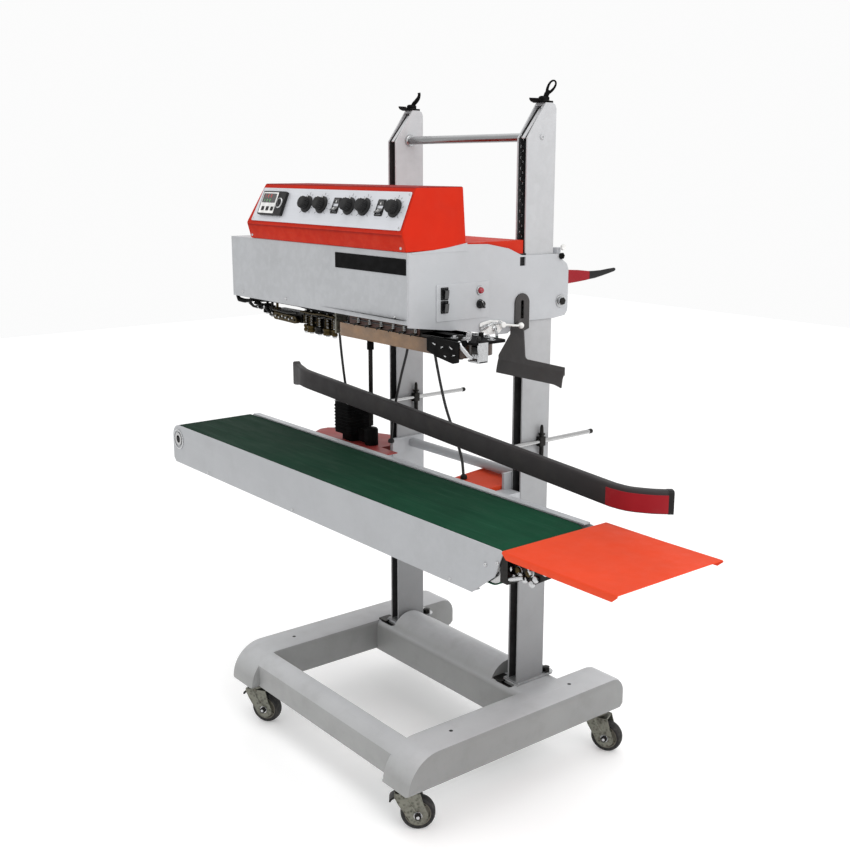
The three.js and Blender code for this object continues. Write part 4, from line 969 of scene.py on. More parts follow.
for dx, dy in ((-433, 13), (-377, 13), (-433, 75), (-377, 75)):
    p.bolt((dx, dy, 742), UP, 6, 2.4, DARK_STEEL)
p.done(0.6, 2, replaces=["drive_gearbox"])
p = Piece("drive_shaft_lower_detail", "drive_shaft_lower", "dark_steel")
spline = star(24, lambda k, a: 5.4 if k % 2 else 4.7)
p.add(prism(spline, 692, 1047), DARK_STEEL, to(*SHAFT))
p.done(0.15, 1, replaces=["drive_shaft_lower"])
p = Piece("drive_shaft_upper_detail", "drive_shaft_upper", "black_metal")
p.add(lathe([(6.2, 882.2), (8.2, 882.2), (8.6, 883), (8.6, 898), (8.0, 899), (8.0, 1050), (7.6, 1051.6),
             (6.2, 1051.6)], 36, True), BLACK_PAINT, to(*SHAFT))
p.done(0.2, 1, replaces=["drive_shaft_upper"])

# ------------------------------------------------------------------ bag guide bar
SLOPE = math.tan(math.radians(3.55))
BAR_TOP = 777.0
BAR_LINE = [(-614, 10), (-572, -2), (-527, -12), (-420, -12), (-200, -12), (100, -12), (380, -12), (505, -12),
            (530, -10.5), (556, -2.5), (583, 19), (598, 36), (610.5, 54)]


def smoothstep(a, b, v):
    """0 at a and 1 at b, with a soft start and end."""
    t = max(0.0, min(1.0, (v - a) / (b - a)))
    return t * t * (3 - 2 * t)


def bar_rows(line, half, top, drop, round_off):
    """Rows of a rounded upright section carried along a plan line; half, top and drop vary with x."""
    rows = []
    for i, q in enumerate(line):
        a, b = line[max(i - 1, 0)], line[min(i + 1, len(line) - 1)]
        t = (b - a).normalized()
        n = Vector((-t.y, t.x, 0))
        x = q.x
        z = BAR_TOP - x * SLOPE
        hw, z0, z1 = half(x), z - drop(x), z + top(x)
        sec = rounded((-hw, hw), (z0, z1), round_off, 4)
        rows.append([Vector((q.x, q.y, 0)) + n * s.x + Vector((0, 0, s.y)) for s in sec])
    return rows


bar_line = catmull([(a, b, 0) for a, b in BAR_LINE], 8)
GUIDE_RODS = {"left": (-246, 768), "right": (194, 741)}     # X and Z of each rod


def to_tip(x, inner):
    """1 at the bar's infeed tip, falling to 0 at inner."""
    return 1 - smoothstep(-616, inner, x)


rows = bar_rows(bar_line, lambda x: 9.6 + 0.4 * to_tip(x, -600), lambda x: 4 * to_tip(x, -598),
                lambda x: 45 + 12 * to_tip(x, -545), [2.5, 2.5, 4.5, 4.5])
p = Piece("guide_bar_detail", "guide_bar", "charcoal_paint")
p.add(skin(rows), CHARCOAL)
# red marker patch on the operator's face near the outfeed end, and the black end cap
line = [q for q in bar_line if 512 <= q.x <= 606]
patch = []
for i, q in enumerate(line):
    a, b = line[max(i - 1, 0)], line[min(i + 1, len(line) - 1)]
    t = (b - a).normalized()
    n = Vector((-t.y, t.x, 0))
    z = BAR_TOP - q.x * SLOPE
    base = Vector((q.x, q.y, 0))
    patch.append([base - n * 9.4 + Vector((0, 0, z - 43.4)), base - n * 10.3 + Vector((0, 0, z - 42.8)),
                  base - n * 10.3 + Vector((0, 0, z - 8.6)), base - n * 9.4 + Vector((0, 0, z - 8.0))])
p.add(skin(patch), DEEP_RED)
cap_line = [q for q in bar_line if q.x > 603]
p.add(skin(bar_rows(cap_line, lambda x: 10.4, lambda x: 0.4, lambda x: 45.4, [3, 3, 5, 5])), BLACK)
# rods welded to the bar, turned tips
for x, z in GUIDE_RODS.values():
    prof = [(0, 0), (4.75, 0), (4.75, 272), (4.2, 274), (0, 274)]
    p.add(lathe(prof, 28), STEEL_Y, frame_at((x, -4, z), TO_REAR))
    cap = [(0, 0), (4.9, 0), (5.4, 0.6), (5.4, 7.4), (4.6, 9), (0, 9.6)]
    p.add(lathe(cap, 28), DARK_STEEL, frame_at((x, 268.5, z), TO_REAR))
    p.add(lathe([(4.9, 0), (9.5, 0), (9.5, 5), (8.6, 6.5), (4.9, 6.5)], 28, True), DARK_STEEL,
          frame_at((x, -3, z), TO_REAR))
p.done(0.4, 2, replaces=["guide_bar"])

for name, (x, z) in GUIDE_RODS.items():
    p = Piece("rod_clamp_" + name + "_detail", "base", "bright_steel")
    face = x - 7.7
    block = rounded((face, x + 6), (112, 130), 3, 4)
    p.add(prism(block, z - 10, z + 10), DARK_STEEL)
    pin = to(x + 1, 121, z)
    p.add(lathe([(0, -34), (3.4, -34), (5, -32), (5, -15), (5, 14), (0, 14)], 26), DARK_STEEL, pin)
    p.add(lathe([(0, 14), (7, 14), (7.6, 15), (7.6, 17.5), (4.6, 18.5), (4.2, 20), (3.8, 30), (2.6, 36),
                 (0, 37)], 26), DARK_STEEL, pin)
    p.done(0.4, 2, replaces=["rod_clamp_" + name])

# ------------------------------------------------------------------ head: cabinet sheet metal
CASE_X = (-486.0, 190.6)
SIDE_X = (186.6, 190.6)
FACE = SIDE_X[1]     # the side plate's outer face
remake("head_frame", HEAD_GREY, 0.7, 2)


def rows_from(outline, steps):
    """Rings of a plan outline, each at a height and drawn in by an inset."""
    pts = [Vector(q) for q in outline]
    n = len(pts)
    rows = []
    for inset, z in steps:
        ring = []
        for i, q in enumerate(pts):
            u, v = (q - pts[i - 1]).normalized(), (pts[(i + 1) % n] - q).normalized()
            nu, nv = Vector((-u.y, u.x)), Vector((-v.y, v.x))
            m = (nu + nv)
            m = m / max(m.length_squared / 2, 0.2) if m.length > 1e-6 else nu
            w = q + m * inset
            ring.append(Vector((w.x, w.y, z)))
        rows.append(ring)
    return rows


plan = [(CASE_X[0], -239), (CASE_X[1], -239), (CASE_X[1], -236.9), (186.2, -236.9), (186.2, -92),
        (CASE_X[0], -92)]
p = Piece("head_casing_detail", "head", "white_paint")
p.add(skin(rows_from(plan, [(10, 1031.5), (1.6, 1031.5), (1.6, 1022), (0, 1022), (0, 1160)])), WHITE)
p.done(2.4, 3, 40, 40, replaces=["head_casing"])
p = Piece("head_casing_trim", "head", "black_plastic")
strip = rounded((-52, 187), (1117, 1148), 1.5, 3)
p.add(xz_y(strip, -239.9, -238.6), BLACK_PAINT)
for x in (-440, -250, 150):
    p.screw((x, -239.1, 1034), TO_FRONT, 3.4, STEEL)
for z in (1050, 1132):
    p.screw((-486.1, -160, z), TO_LEFT, 3.6, STEEL)
p.done(0.25, 2)

p = Piece("rear_cover_detail", "head", "red_paint")
rear = [(-461, -90), (186.2, -90), (186.2, 64), (-461, 64)]
p.add(skin(rows_from(rear, [(10, 1040), (1.6, 1040), (1.6, 1031), (0, 1031), (0, 1172)])), RED)
p.done(2.6, 3, 40, 40, replaces=["rear_cover"])
p = Piece("rear_cover_trim", "head", "red_paint")
for k in range(11):
    x = -330 + 30 * k
    louvre = [(63.2, 1078), (68.4, 1086), (68.4, 1088), (63.2, 1112)]
    p.add(yz_x(louvre, x, x + 18), RED)
for x in (-440, -150, 165):
    p.screw((x, 64.1, 1054), TO_REAR, 3.6, STEEL)
    p.screw((x, 64.1, 1150), TO_REAR, 3.6, STEEL)
p.done(0.5, 2)

# control box: five-sided section, its left end leaning in above the fold
TOP = 1281.0
PANEL_Z = 1196.0     # the fold where the sloped panel starts
section = [(-241, 1160.4), (-250.2, 1193), (-251, PANEL_Z), (-215, TOP), (-99, TOP), (-92, 1160.4)]
verts, faces = yz_x(section, -391, 190.6)
for v in verts:
    if v.x < 0 and v.z > PANEL_Z:
        v.x += 29 * (v.z - PANEL_Z) / (TOP - PANEL_Z)
    if v.x > 0 and v.z > PANEL_Z:
        v.x -= 2.5 * (v.z - PANEL_Z) / (TOP - PANEL_Z)
p = Piece("control_box_detail", "head", "red_paint")
p.add((verts, faces), BOX_RED)
p.done(3.4, 4, 20, 40, replaces=["control_box"])
p = Piece("control_box_trim", "head", "red_paint")
for z in (1185, 1258):
    for x in (-330, 150):
        y = -92 - 7 * (z - 1160) / 121 + 0.1
        p.screw((x, y, z), TO_REAR, 3.8, STEEL)
for k in range(9):
    x = -260 + 26 * k
    p.add(yz_x([(-96.5, 1206), (-90.5, 1214), (-90.5, 1216), (-96.5, 1236)], x, x + 14), RED)
for x in (-380, 176):
    p.screw((x, -242.6, 1168), (0, -0.96, 0.27), 3.4, STEEL)
p.done(0.5, 2)

# side plate: sheet with its switch plate
plate = remake("side_plate", WHITE, 0.3, 2)
# its front edge is dressed to the corner of the casing
for v in plate.data.vertices:
    if v.co.y < -0.1705:
        v.co.y = -0.2368
plate.data.update()
p = Piece("side_plate_trim", "head", "white_paint")
p.bolt((FACE + 1.0, 171, 1040), TO_RIGHT, 14, 6, DARK_STEEL, True, (0, 0.3, 1))
p.bolt((FACE + 0.2, 169, 1135), TO_RIGHT, 12, 5, BLACK_PAINT, False, (0, 0.4, 1))
p.bolt((FACE + 0.2, 172, 1153), TO_RIGHT, 11, 5, OFF_WHITE, False, (0, 0.1, 1))
# its top edge sweeps up over the foot of the control box
sweep = [(-229, 1157), (-229, 1160), (-211, 1160.8), (-175, 1162.4), (-139, 1166), (-111, 1170), (-91, 1173),
         (-91, 1157)]
p.add(yz_x(sweep, FACE + 0.05, FACE + 0.8), WHITE)
# dark window: a black sheet behind the opening, painted shade for the dark inside; and the swivel rod seen in
# the slot
p.add(box((186.22, 186.5), (47, 72), (1113, 1145)), BLACK)
p.add(tube([(184, 59, 1008), (184.5, 58, 1034), (183, 59, 1058)], 5.2, 16), DARK_STEEL)
ring = [(188.4, 59 + 9.6 * math.cos(a), 1036 + 23 * math.sin(a)) for a in around(40)]
p.add(tube(ring, 1.6, 10, True), DARK_STEEL)
p.done(0.3, 2)

# ------------------------------------------------------------------ control panel
PANEL_FACE = 1.9     # of the plate above the box
PANEL = to(0, -251, PANEL_Z) @ Matrix.Rotation(math.atan2(85, 36), 4, "X")
p = Piece("panel_plate_detail", "head", "panel_aluminium")
plate = fillet([(-371, 5), (183, 5), (183, 82), (-358, 82)], 3, 4)
p.add(prism(plate, 0.4, PANEL_FACE), ALU, PANEL)
p.done(0.35, 2, replaces=["panel_plate"])

p = Piece("panel_marks", "head", "black_plastic")
ROW = 48             # height of the row of knobs and rockers up the panel
KNOBS = (-162, -105, -5, 47, 147)
ROCKERS = (-54, 99)
for x in KNOBS:
    for k in range(11):
        a = math.radians(-135 + 27 * k)
        at = PANEL @ to(x, ROW, PANEL_FACE) @ Matrix.Rotation(-a, 4, "Z")
        p.add(box((-0.45, 0.45), (21.5, 25 if k % 5 else 27), (0, 0.15)), BLACK, at)
for x in (-368, 178):
    for inset, y in ((4, 10), (12, 77)):
        spot = PANEL @ Vector((x + (inset if x < 0 else 0), y, PANEL_FACE))
        p.screw(spot, PANEL.to_3x3() @ Vector(UP), 2.4, STEEL)
p.done(0)

for i, x in enumerate(KNOBS):
    p = Piece("knob_%d_detail" % (i + 1), "knob_%d" % (i + 1), "black_plastic")
    at = PANEL @ to(x, ROW, 2.1)
    skirt = [(0, 0), (18.3, 0), (18.5, 0.5), (18.5, 2.6), (17.6, 3.8), (15.2, 4.8), (13.8, 5.4), (0, 5.4)]
    p.add(lathe(skirt, 48), BLACK, at)
    outline = star(120, lambda k, a: 13.2 + 0.55 * math.cos(20 * a))
    rows = [[Vector((q[0] * s, q[1] * s, z)) for q in outline] for s, z in
            ((1.02, 4.6), (1.0, 6), (0.94, 15.8), (0.90, 17.4), (0.82, 18.2))]
    p.add(skin(rows), BLACK, at)
    p.add(disc(9.2, 18.0, 18.5, 0.25, 40), BLACK, at)
    # white pointer across the skirt and up the grip
    p.add(box((-0.9, 0.9), (9.4, 18.2), (4.9, 5.55)), OFF_WHITE, at)
    p.add(box((-0.8, 0.8), (10.2, 12.7), (17.4, 18.45)), OFF_WHITE, at)
    p.done(0.12, 1, 40, replaces=["knob_%d" % (i + 1)])


def rocker_shape(half_w, half_l, crown, depth):
    """Rocker cap: a shallow V along its length, lowest in the middle."""
    line = [(-half_l, -depth), (half_l, -depth), (half_l, crown + 1.0), (half_l * 0.86, crown + 1.35),
            (half_l * 0.5, crown * 0.55 + 0.6), (0, crown * 0.25), (-half_l * 0.5, crown * 0.55 + 0.6),
            (-half_l * 0.86, crown + 1.35), (-half_l, crown + 1.0)]
    return yz_x(line, -half_w, half_w)


def bezel(name, outer, inner, heights, at):
    """Frame round a rocker, from its outer edge over the top to its inner edge."""
    rings = zip((outer, outer, inner, inner), heights)
    rows = [[Vector((q.x, q.y, h)) for q in ring] for ring, h in rings]
    b = Piece(name + "_bezel", "head", "black_plastic")
    b.add(skin(rows + [rows[0]], caps=False), BLACK, at)
    b.done(0.2, 2)


ROCKER_REST = math.radians(-8)
for i, x in enumerate(ROCKERS):
    name = "panel_rocker_%d" % (i + 1)
    p = Piece(name + "_detail", name, "black_plastic")
    at = PANEL @ to(x, ROW) @ Matrix.Rotation(ROCKER_REST, 4, "X")
    p.add(rocker_shape(9.2, 13.2, 5.0, 4.5), BLACK_GLOSS, at)
    p.add(box((-0.7, 0.7), (5.4, 10.4), (4.0, 5.65)), OFF_WHITE, at)
    ring = lathe([(1.7, 0), (2.7, 0), (2.7, 0.45), (1.7, 0.45)], 24, True)
    p.add(ring, OFF_WHITE, at @ to(0, -8.2, 5.0))
    p.done(0.35, 2, replaces=[name])
    bezel(name, rounded((-13.2, 13.2), (-17.2, 17.2), 2.2, 4), rounded((-10.2, 10.2), (-14.4, 14.4), 1.2, 4),
          (-2, 2.2, 4.2, -2), PANEL @ to(x, ROW))

# temperature controller: bezel, two windows with generic segments, keys, round switch
p = Piece("temperature_controller_detail", "head", "black_plastic")
cx0, cx1, cy0, cy1 = -341, -246, 18, 72
body = rounded((cx0, cx1), (cy0, cy1), 3, 4)
p.add(prism(body, 2.2, 9), BLACK, PANEL)
face = rounded((cx0 + 3, -276), (cy0 + 3, cy1 - 3), 2, 4)
p.add(prism(face, 8.9, 9.4), OFF_WHITE, PANEL)
win = rounded((-335, -281), (45, 66), 1.2, 3)
p.add(prism(win, 9.3, 9.9), BLACK_GLOSS, PANEL)


def digit(origin, size, on, mat):
    """Seven-segment figure: the segments named in on, at an origin on the controller face."""
    w, h, t = size * 0.55, size, size * 0.11
    bars = {"a": (0, h - t, w, h), "b": (w - t, h / 2, w, h), "c": (w - t, 0, w, h / 2), "d": (0, 0, w, t),
            "e": (0, 0, t, h / 2), "f": (0, h / 2, t, h), "g": (0, h / 2 - t / 2, w, h / 2 + t / 2)}
    for s in on:
        x0, y0, x1, y1 = bars[s]
        p.add(box((origin[0] + x0, origin[0] + x1), (origin[1] + y0, origin[1] + y1), (9.85, 10.05)), mat,
              PANEL)


for k, on in enumerate(("bc", "abged", "abcdef")):
    digit((-328 + 12 * k, 57), 7, on, DIGIT)
    digit((-328 + 12 * k, 47), 6, on, DIGIT_GREEN)
for x in (-323, -304, -285):
    p.add(box((x - 5, x + 5), (27, 36), (9.2, 10.4)), BLACK, PANEL)
m = PANEL @ to(-261, 45)
p.add(lathe([(9.6, 8.8), (12, 8.8), (12, 10.6), (10.8, 12), (9.6, 12)], 44, True), STEEL, m)
p.add(lathe([(0, 8.8), (9.2, 8.8), (9.2, 11), (8.4, 11.8), (0, 12)], 40), BLACK, m)
p.add(box((-1.0, 1.0), (-7.6, 7.6), (11.6, 13.4)), BLACK_GLOSS, m @ Matrix.Rotation(0.6, 4, "Z"))
p.done(0.25, 2, replaces=["temperature_controller"])

# ------------------------------------------------------------------ switches on the side plate
QUARTER = math.pi / 2
for i, z in enumerate((1077, 1051)):
    name = "side_rocker_%d" % (i + 1)
    remake(name, BLACK_GLOSS, 0.4, 2)
    bezel(name, rounded((-9.4, 9.4), (-12.4, 12.4), 1.6, 4), rounded((-7.6, 7.6), (-10.6, 10.6), 0.8, 4),
          (1.4, 2.4, 3.4, 1.4),
          to(FACE, -149, z) @ Matrix.Rotation(QUARTER, 4, "Z") @ Matrix.Rotation(QUARTER, 4, "X"))
p = Piece("pilot_lamp_detail", "head", "lamp_red")
at = frame_at((192.2, -58, 1078), TO_RIGHT, TO_REAR)
p.add(lathe([(6.6, 0), (9.4, 0), (9.4, 1.6), (8.6, 3), (6.6, 3)], 40, True), STEEL, at)
p.add(lathe([(0, 0), (6.5, 0), (6.5, 4), (5.8, 6.4), (4, 7.8), (0, 8.4)], 40), LAMP, at)
p.done(0.2, 2, replaces=["pilot_lamp"])
p = Piece("side_knob_detail", "side_knob", "black_plastic")
at = frame_at((192.6, -58, 1051), TO_RIGHT, TO_REAR)
p.add(lathe([(0, 0), (8.8, 0), (9.2, 0.6), (9.2, 2), (7.4, 3.4), (6.8, 9.6), (6.2, 10.6), (0, 10.8)], 36),
      BLACK, at)
p.add(box((-1.7, 1.7), (-8.6, 8.6), (2, 12)), BLACK_GLOSS, at @ Matrix.Rotation(0.5, 4, "Z"))
p.add(box((-0.5, 0.5), (4.5, 8.2), (11.8, 12.3)), OFF_WHITE, at @ Matrix.Rotation(0.5, 4, "Z"))
p.done(0.3, 2, replaces=["side_knob"])

# ------------------------------------------------------------------ sealing unit
SEAL_Y = -160.0
WHEEL_X = (-80.0, 285.0)
BAR_Z = (969.4, 988.6)     # bottom and top of the heating and cooling bars
PLATE_TOP = 1003           # of the bearing plate at the outfeed end
for key, s in (("front", -1), ("rear", 1)):
    node = "seal_band_" + key
    remake(node, BAND, 0.2, 1, 50, 45)
    cy = SEAL_Y + s * 25.25
    for end, x in zip(("infeed", "outfeed"), WHEEL_X):
        name = "band_wheel_%s_%s" % (key, end)
        p = Piece(name + "_detail", name, "bright_steel")
        at = to(x, cy)
        rim = [(14, 970.2), (19.4, 969.7), (20.1, 970.6), (20.1, 995.4), (19.4, 996.3), (14, 995.8),
               (13, 989.5), (13, 974.5)]
        p.add(lathe(rim, 56, True), STEEL, at)
        web = [(5, 974.5), (13.2, 974.5), (13.2, 989.5), (5, 989.5)]
        p.add(lathe(web, 40, True), STEEL, at)
        p.add(lathe([(0, 966.3), (8.2, 966.3), (9, 967.4), (9, 992.2), (8.2, 993), (5, 993), (5, 1010.8),
                     (0, 1010.8)], 32), DARK_STEEL, at)
        for a in around(6):
            q = at @ to(10.8 * math.cos(a), 10.8 * math.sin(a))
            p.add(disc(1.6, 988.5, 990.6, 0.4, 12), DARK_STEEL, q)
        p.add(hexagon(9, 964.4, 966.6), DARK_STEEL, at)
        p.done(0.2, 2, replaces=[name])


def seal_span(s, near, far):
    """Y range between two distances from the sealing line, in front of it (s = -1) or behind it (1)."""
    return tuple(sorted((SEAL_Y + s * near, SEAL_Y + s * far)))


p = Piece("heater_unit", "head", "dark_steel")
RIGHT = SIDE_X[0] - 3
top_z = 1023.6
p.add(prism(rounded((-60, RIGHT), (-200, -120), 3, 3), 1014, top_z), DARK_STEEL)
for s in (-1, 1):
    y_out = SEAL_Y + s * 43
    # hollow cover strip over the band, with a turned lip
    p.add(box((-50, RIGHT), seal_span(s, 10, 43), (1004, 1014.5)), DARK_STEEL)
    p.add(box((-50, RIGHT), seal_span(s, 36, 43), (989, 1004.5)), DARK_STEEL)
    p.add(box((RIGHT - 1, 254), seal_span(s, 10, 43), (990.2, 1003)), DARK_STEEL)
    # heating and cooling bars inside the band
    bar_y = seal_span(s, 5.4, 24)
    p.add(prism(rounded((-46, 120), bar_y, 1.5, 3), *BAR_Z), BRASS_DARK)
    p.add(prism(rounded((134, 250), bar_y, 1.5, 3), *BAR_Z), ZINC)
    for k in range(9):
        x = 142 + 12 * k
        p.add(box((x, x + 6), seal_span(s, 5.6, 24.6), (988, 996)), ZINC)
    # yokes, adjusting screws and springs along the strip
    for x in (-34, 6, 46, 86, 122, 158):
        n = (0, s, 0)
        p.bolt((x, y_out, 997), n, 6, 2.6, DARK_STEEL, True)
        spring_at = frame_at((x + 14, y_out + s * 0.6, 1003), UP)
        p.add(helix(3.4, 0.75, 2.2, 5, 0, 6, 14), STEEL, spring_at @ to(0, s * 4.2))
        p.add(tube([(x + 14, y_out + s * 4.8, 1001), (x + 14, y_out + s * 4.8, 1018)], 1.9, 12), BRASS_DARK)
        p.add(box((x + 7, x + 21), tuple(sorted((y_out, y_out + s * 9))), (1000, 1002)), DARK_STEEL)
    p.add(tube([(-44, y_out + s * 2.2, 1009), (30, y_out + s * 2.6, 1008.2), (110, y_out + s * 2.2, 1009.4),
                (178, y_out + s * 2.4, 1008.6)], 1.5, 10), CABLE)
# bearing plate at the outfeed end with the embossing wheel's bracket
end_plate = rounded((RIGHT - 8, 343), (-200, -120), [2, 9, 9, 2], 4)
p.add(prism(end_plate, 998, PLATE_TOP), BLACK_PAINT)
p.add(prism(rounded((308, 343.4), (-192, -168), [8, 2, 2, 8], 4), 964, 967), STEEL)
p.add(box((340.2, 343.4), (-192, -168), (964.5, 1002)), STEEL)
for x, y in ((270, -188), (270, -132), (300, -188), (300, -132), (332, -150)):
    p.bolt((x, y, PLATE_TOP), UP, 8, 3.4, STEEL, True)
# front face of the outfeed end: black bearing boss, knurled screws, and short bright tubes that are painted
# glints
p.add(box((238, 256), (-207.6, -203), (984, 1002)), BLACK_PAINT)
cover = fillet([(214, 975), (214, 1001), (308, 1001), (308, 963), (292, 959), (246, 966)], 3, 3)
p.add(xz_y(cover, -211, -208), BLACK_PAINT)
p.add(box((214, 306), (-208.2, -203), (996, 1001)), BLACK_PAINT)
# short bright tubes on the black cover: painted glints
PAINTED_GLINTS = ((232, 992, 9, -3), (258, 984, 6, 4), (283, 991, 8, -5), (292, 973, 7, 3), (268, 971, 5, -1))
for x, z, dx, dz in PAINTED_GLINTS:
    p.add(tube([(x, -211, z), (x + dx / 2, -213, z + dz / 2 + 1), (x + dx, -211, z + dz)], 1.2, 8), STEEL)
# heat shield strip between the casing and the band
p.add(box((-52, RIGHT), (-205.6, -202.5), (998.6, 1022.8)), SHIELD)
p.add(tube([(300, -203.5, 1000), (314, -204.5, 990), (330, -203.5, 978), (338, -201, 974)],
           [4, 5, 4.2, 3], 14, False, 0.7), STEEL)
p.add(lathe([(0, 0), (6.6, 0), (7.2, 1), (7.2, 7), (6.4, 8), (0, 8.4)], 26), STEEL,
      frame_at((296, -199, 993), TO_FRONT))
p.add(lathe([(0, 0), (5.4, 0), (6, 1), (6, 5), (5, 6), (0, 6.2)], 26), BLACK_PAINT,
      frame_at((316, -199, 999.5), TO_FRONT))
p.add(helix(4.6, 1.0, 2.8, 6, 0, 8, 16), STEEL, frame_at((322, -199.5, 1006), (0.3, 0, 1)))
p.add(tube([(322, -199.5, 1003), (327, -199.5, 1023)], 2.2, 12), STEEL)
p.done(0.35, 2, replaces=["heater_block"])

p = Piece("press_wheel_detail", "press_wheel", "bright_steel")
at = to(326, SEAL_Y - 16.5)
teeth = star(72, lambda k, a: 12.5 if k % 2 else 13.0)
p.add(prism(teeth, 972.5, 979.5), STEEL, at)
p.add(lathe([(0, 971), (11.6, 971), (12.4, 971.8), (12.4, 973), (0, 973)], 44), STEEL, at)
p.add(lathe([(0, 979.4), (12.8, 979.4), (13, 980), (13, 992.2), (12.2, 993), (5, 993), (4, 994), (4, 1010.8),
             (0, 1010.8)], 44), RUBBER, at)
p.add(lathe([(0, 967.5), (4, 967.5), (4, 971.2), (0, 971.2)], 24), DARK_STEEL, at)
p.done(0.15, 1, 45, replaces=["press_wheel"])

# infeed guide: hinged arm with trimming rollers, a small guide belt and pressure springs
p = Piece("infeed_guide_detail", "head", "dark_steel")
yf, yb = SEAL_Y - 46, SEAL_Y - 12
deck = [(-470, 1023.6), (-478, 1016), (-458, 1012), (-424, 1008), (-380, 1012), (-262, 1012), (-200, 1008),
        (-112, 1008), (-108, 1023.6)]
p.add(xz_y(deck, yf + 6, yb), BLACK_PAINT)
# nose arm reaching out at the infeed end
arm = [(-482, 1010), (-470, 1012), (-452, 1006), (-436, 999), (-424, 1000)]
p.add(tube([(x, yf + 12, z) for x, z in arm], [3.2, 4.6, 5.4, 4.4, 3.8], 14, False, 1.5), BLACK_PAINT)
for x, z, r, h, mat in ((-452, 1000, 9, 12, BLACK_PAINT), (-406, 985, 10, 20, BLACK_PAINT),
                        (-384, 980, 8, 22, DARK_STEEL), (-362, 976, 9, 24, BRASS_DARK)):
    at = to(x, yf + 12)
    p.add(lathe([(0, z), (r - 1, z), (r, z + 1), (r, z + h * 0.35), (r - 2.2, z + h * 0.42),
                 (r - 2.2, z + h * 0.6), (r, z + h * 0.67), (r, z + h), (r - 1, z + h + 1),
                 (3, z + h + 1), (3, 1016), (0, 1016)], 32), mat, at)
    p.add(hexagon(8, z - 3, z + 0.3), STEEL, at)
p.add(tube([(-487, -228, 1020), (-474, -230, 1012), (-448, -230, 1011), (-414, -226, 1015)],
           [3.5, 5.5, 5, 3], 12), BLACK_PAINT)
# curved links with bright pins
PINS = [(-470, 1004), (-430, 996), (-398, 1000), (-366, 988), (-330, 984)]
for k, ((x0, z0), (x1, z1)) in enumerate(zip(PINS, PINS[1:])):
    y = yf + (3 if k % 2 else 1)
    mid = ((x0 + x1) / 2, y - 1.5, (z0 + z1) / 2 - 4)
    p.add(tube([(x0, y, z0), mid, (x1, y, z1)], [4.2, 3.0, 4.2], 12, False, 0.5), DARK_STEEL)
    p.add(disc(3.1, -1, 3.4, 0.6, 20), STEEL, frame_at((x0, y - 1, z0), TO_FRONT))
# guide belt loop with its small wheels, and five spring plungers
loop = arc(-352, 984, 8, 90, 270, 12) + arc(-268, 982, 8, -90, 90, 12)
p.add(xz_y(loop, yf - 1, yf + 9), BRASS_DARK)
for k in range(12):
    pin = frame_at((-348 + 7.2 * k, yf - 1, 984 + 2.4 * math.sin(k * 2.1)), TO_FRONT)
    p.add(disc(2.3, 0, 2.4, 0.5, 16), DARK_STEEL if k % 2 else STEEL, pin)
p.add(box((-366, -254), (yf + 9, yb), (975.5, 999)), DARK_STEEL)
p.add(tube([(-360, yf - 2, 998), (-300, yf - 3.5, 996), (-256, yf - 2, 999)], 2.3, 12), DARK_STEEL)
for i, x in enumerate((-238, -216, -184, -152, -126)):
    at = to(x, SEAL_Y - 34)
    r = 11.4 if i in (1, 2, 3) else 6.5
    p.add(lathe([(0, 960), (r - 1.5, 960), (r, 961.5), (r, 966), (r - 1.4, 967), (r - 1.4, 969), (r, 970),
                 (r, 974), (r - 1.5, 975.6), (0, 975.6)], 34), BRASS_DARK if i != 2 else DARK_STEEL, at)
    p.add(helix(6.4, 1.15, 3.3, 9, 976, 8, 18), BRASS_DARK, at)
    p.add(tube([(0, 0, 974), (0, 0, 1012)], 3.4, 16), STEEL, at)
    p.add(hexagon(9, 956.6, 960.3), STEEL, at)
    p.add(box((-9, 9), (-12, 20), (998, 1001)), DARK_STEEL, at)
p.add(box((-246, -116), (yf + 16, yb), (972, 1009)), BLACK_PAINT)
p.add(tube([(-246, yf + 2, 1004), (-200, yf + 0.5, 1003), (-150, yf + 1, 1005), (-112, yf + 2, 1003)],
           2.1, 10), BRASS_DARK)
p.add(box((-114, -108), (yf + 4, yb), (970, 1023)), ZINC)
for k in range(10):
    x = -240 + 13 * k
    z = 990 + 8 * math.sin(k * 1.7)
    p.add(disc(2.4, 0, 3.4, 0.6, 16), STEEL if k % 3 else BRASS_DARK, frame_at((x, yf + 14, z), TO_FRONT))
p.done(0.3, 2, replaces=["infeed_guide"])

# outfeed guide: folded charcoal sheet with a flared lower lip
p = Piece("outfeed_guide_detail", "head", "charcoal_paint")
plate = [(192.4, 984), (196, 996), (230, 996), (236, 936), (348.6, 934), (348.6, 917), (156, 922), (156, 934)]
p.add(xz_y(fillet(plate, [2, 3, 3, 8, 1, 1, 1, 2], 4), 27, 30), GUIDE_GREY)
lip = []
for k in range(20):
    x = 155 + 194 * k / 19
    e = 2.5 * smoothstep(300, 349, x)
    drop = 1 + 4 * smoothstep(330, 349, x)
    section = [(27, 925), (30, 925), (26.5 - e, 911), (24.2 - e, 898.6 - drop), (21.4 - e, 898.2 - drop),
               (23.6 - e, 910)]
    lip.append([Vector((x, y, z)) for y, z in section])
p.add(skin(lip), GUIDE_GREY)
# slotted arm on the side plate, a loop with a rounded top
outer = [(27.4, 996), (27.4, 975), (78, 990)] + arc(58, 1044, 20, 0, 180, 40) + [(38, 1000)]
inner = [(53.8, 1012), (53.8, 1012), (62.2, 1012)] + arc(58, 1046, 4.2, 0, 180, 40) + [(53.8, 1012)]
rows = []
for pts, h in ((outer, 190.9), (outer, 193.9), (inner, 193.9), (inner, 190.9)):
    rows.append([Vector((h, a, b)) for a, b in pts])
p.add(skin(rows + [rows[0]], caps=False), GUIDE_GREY)
p.done(0.5, 2, replaces=["outfeed_guide"])

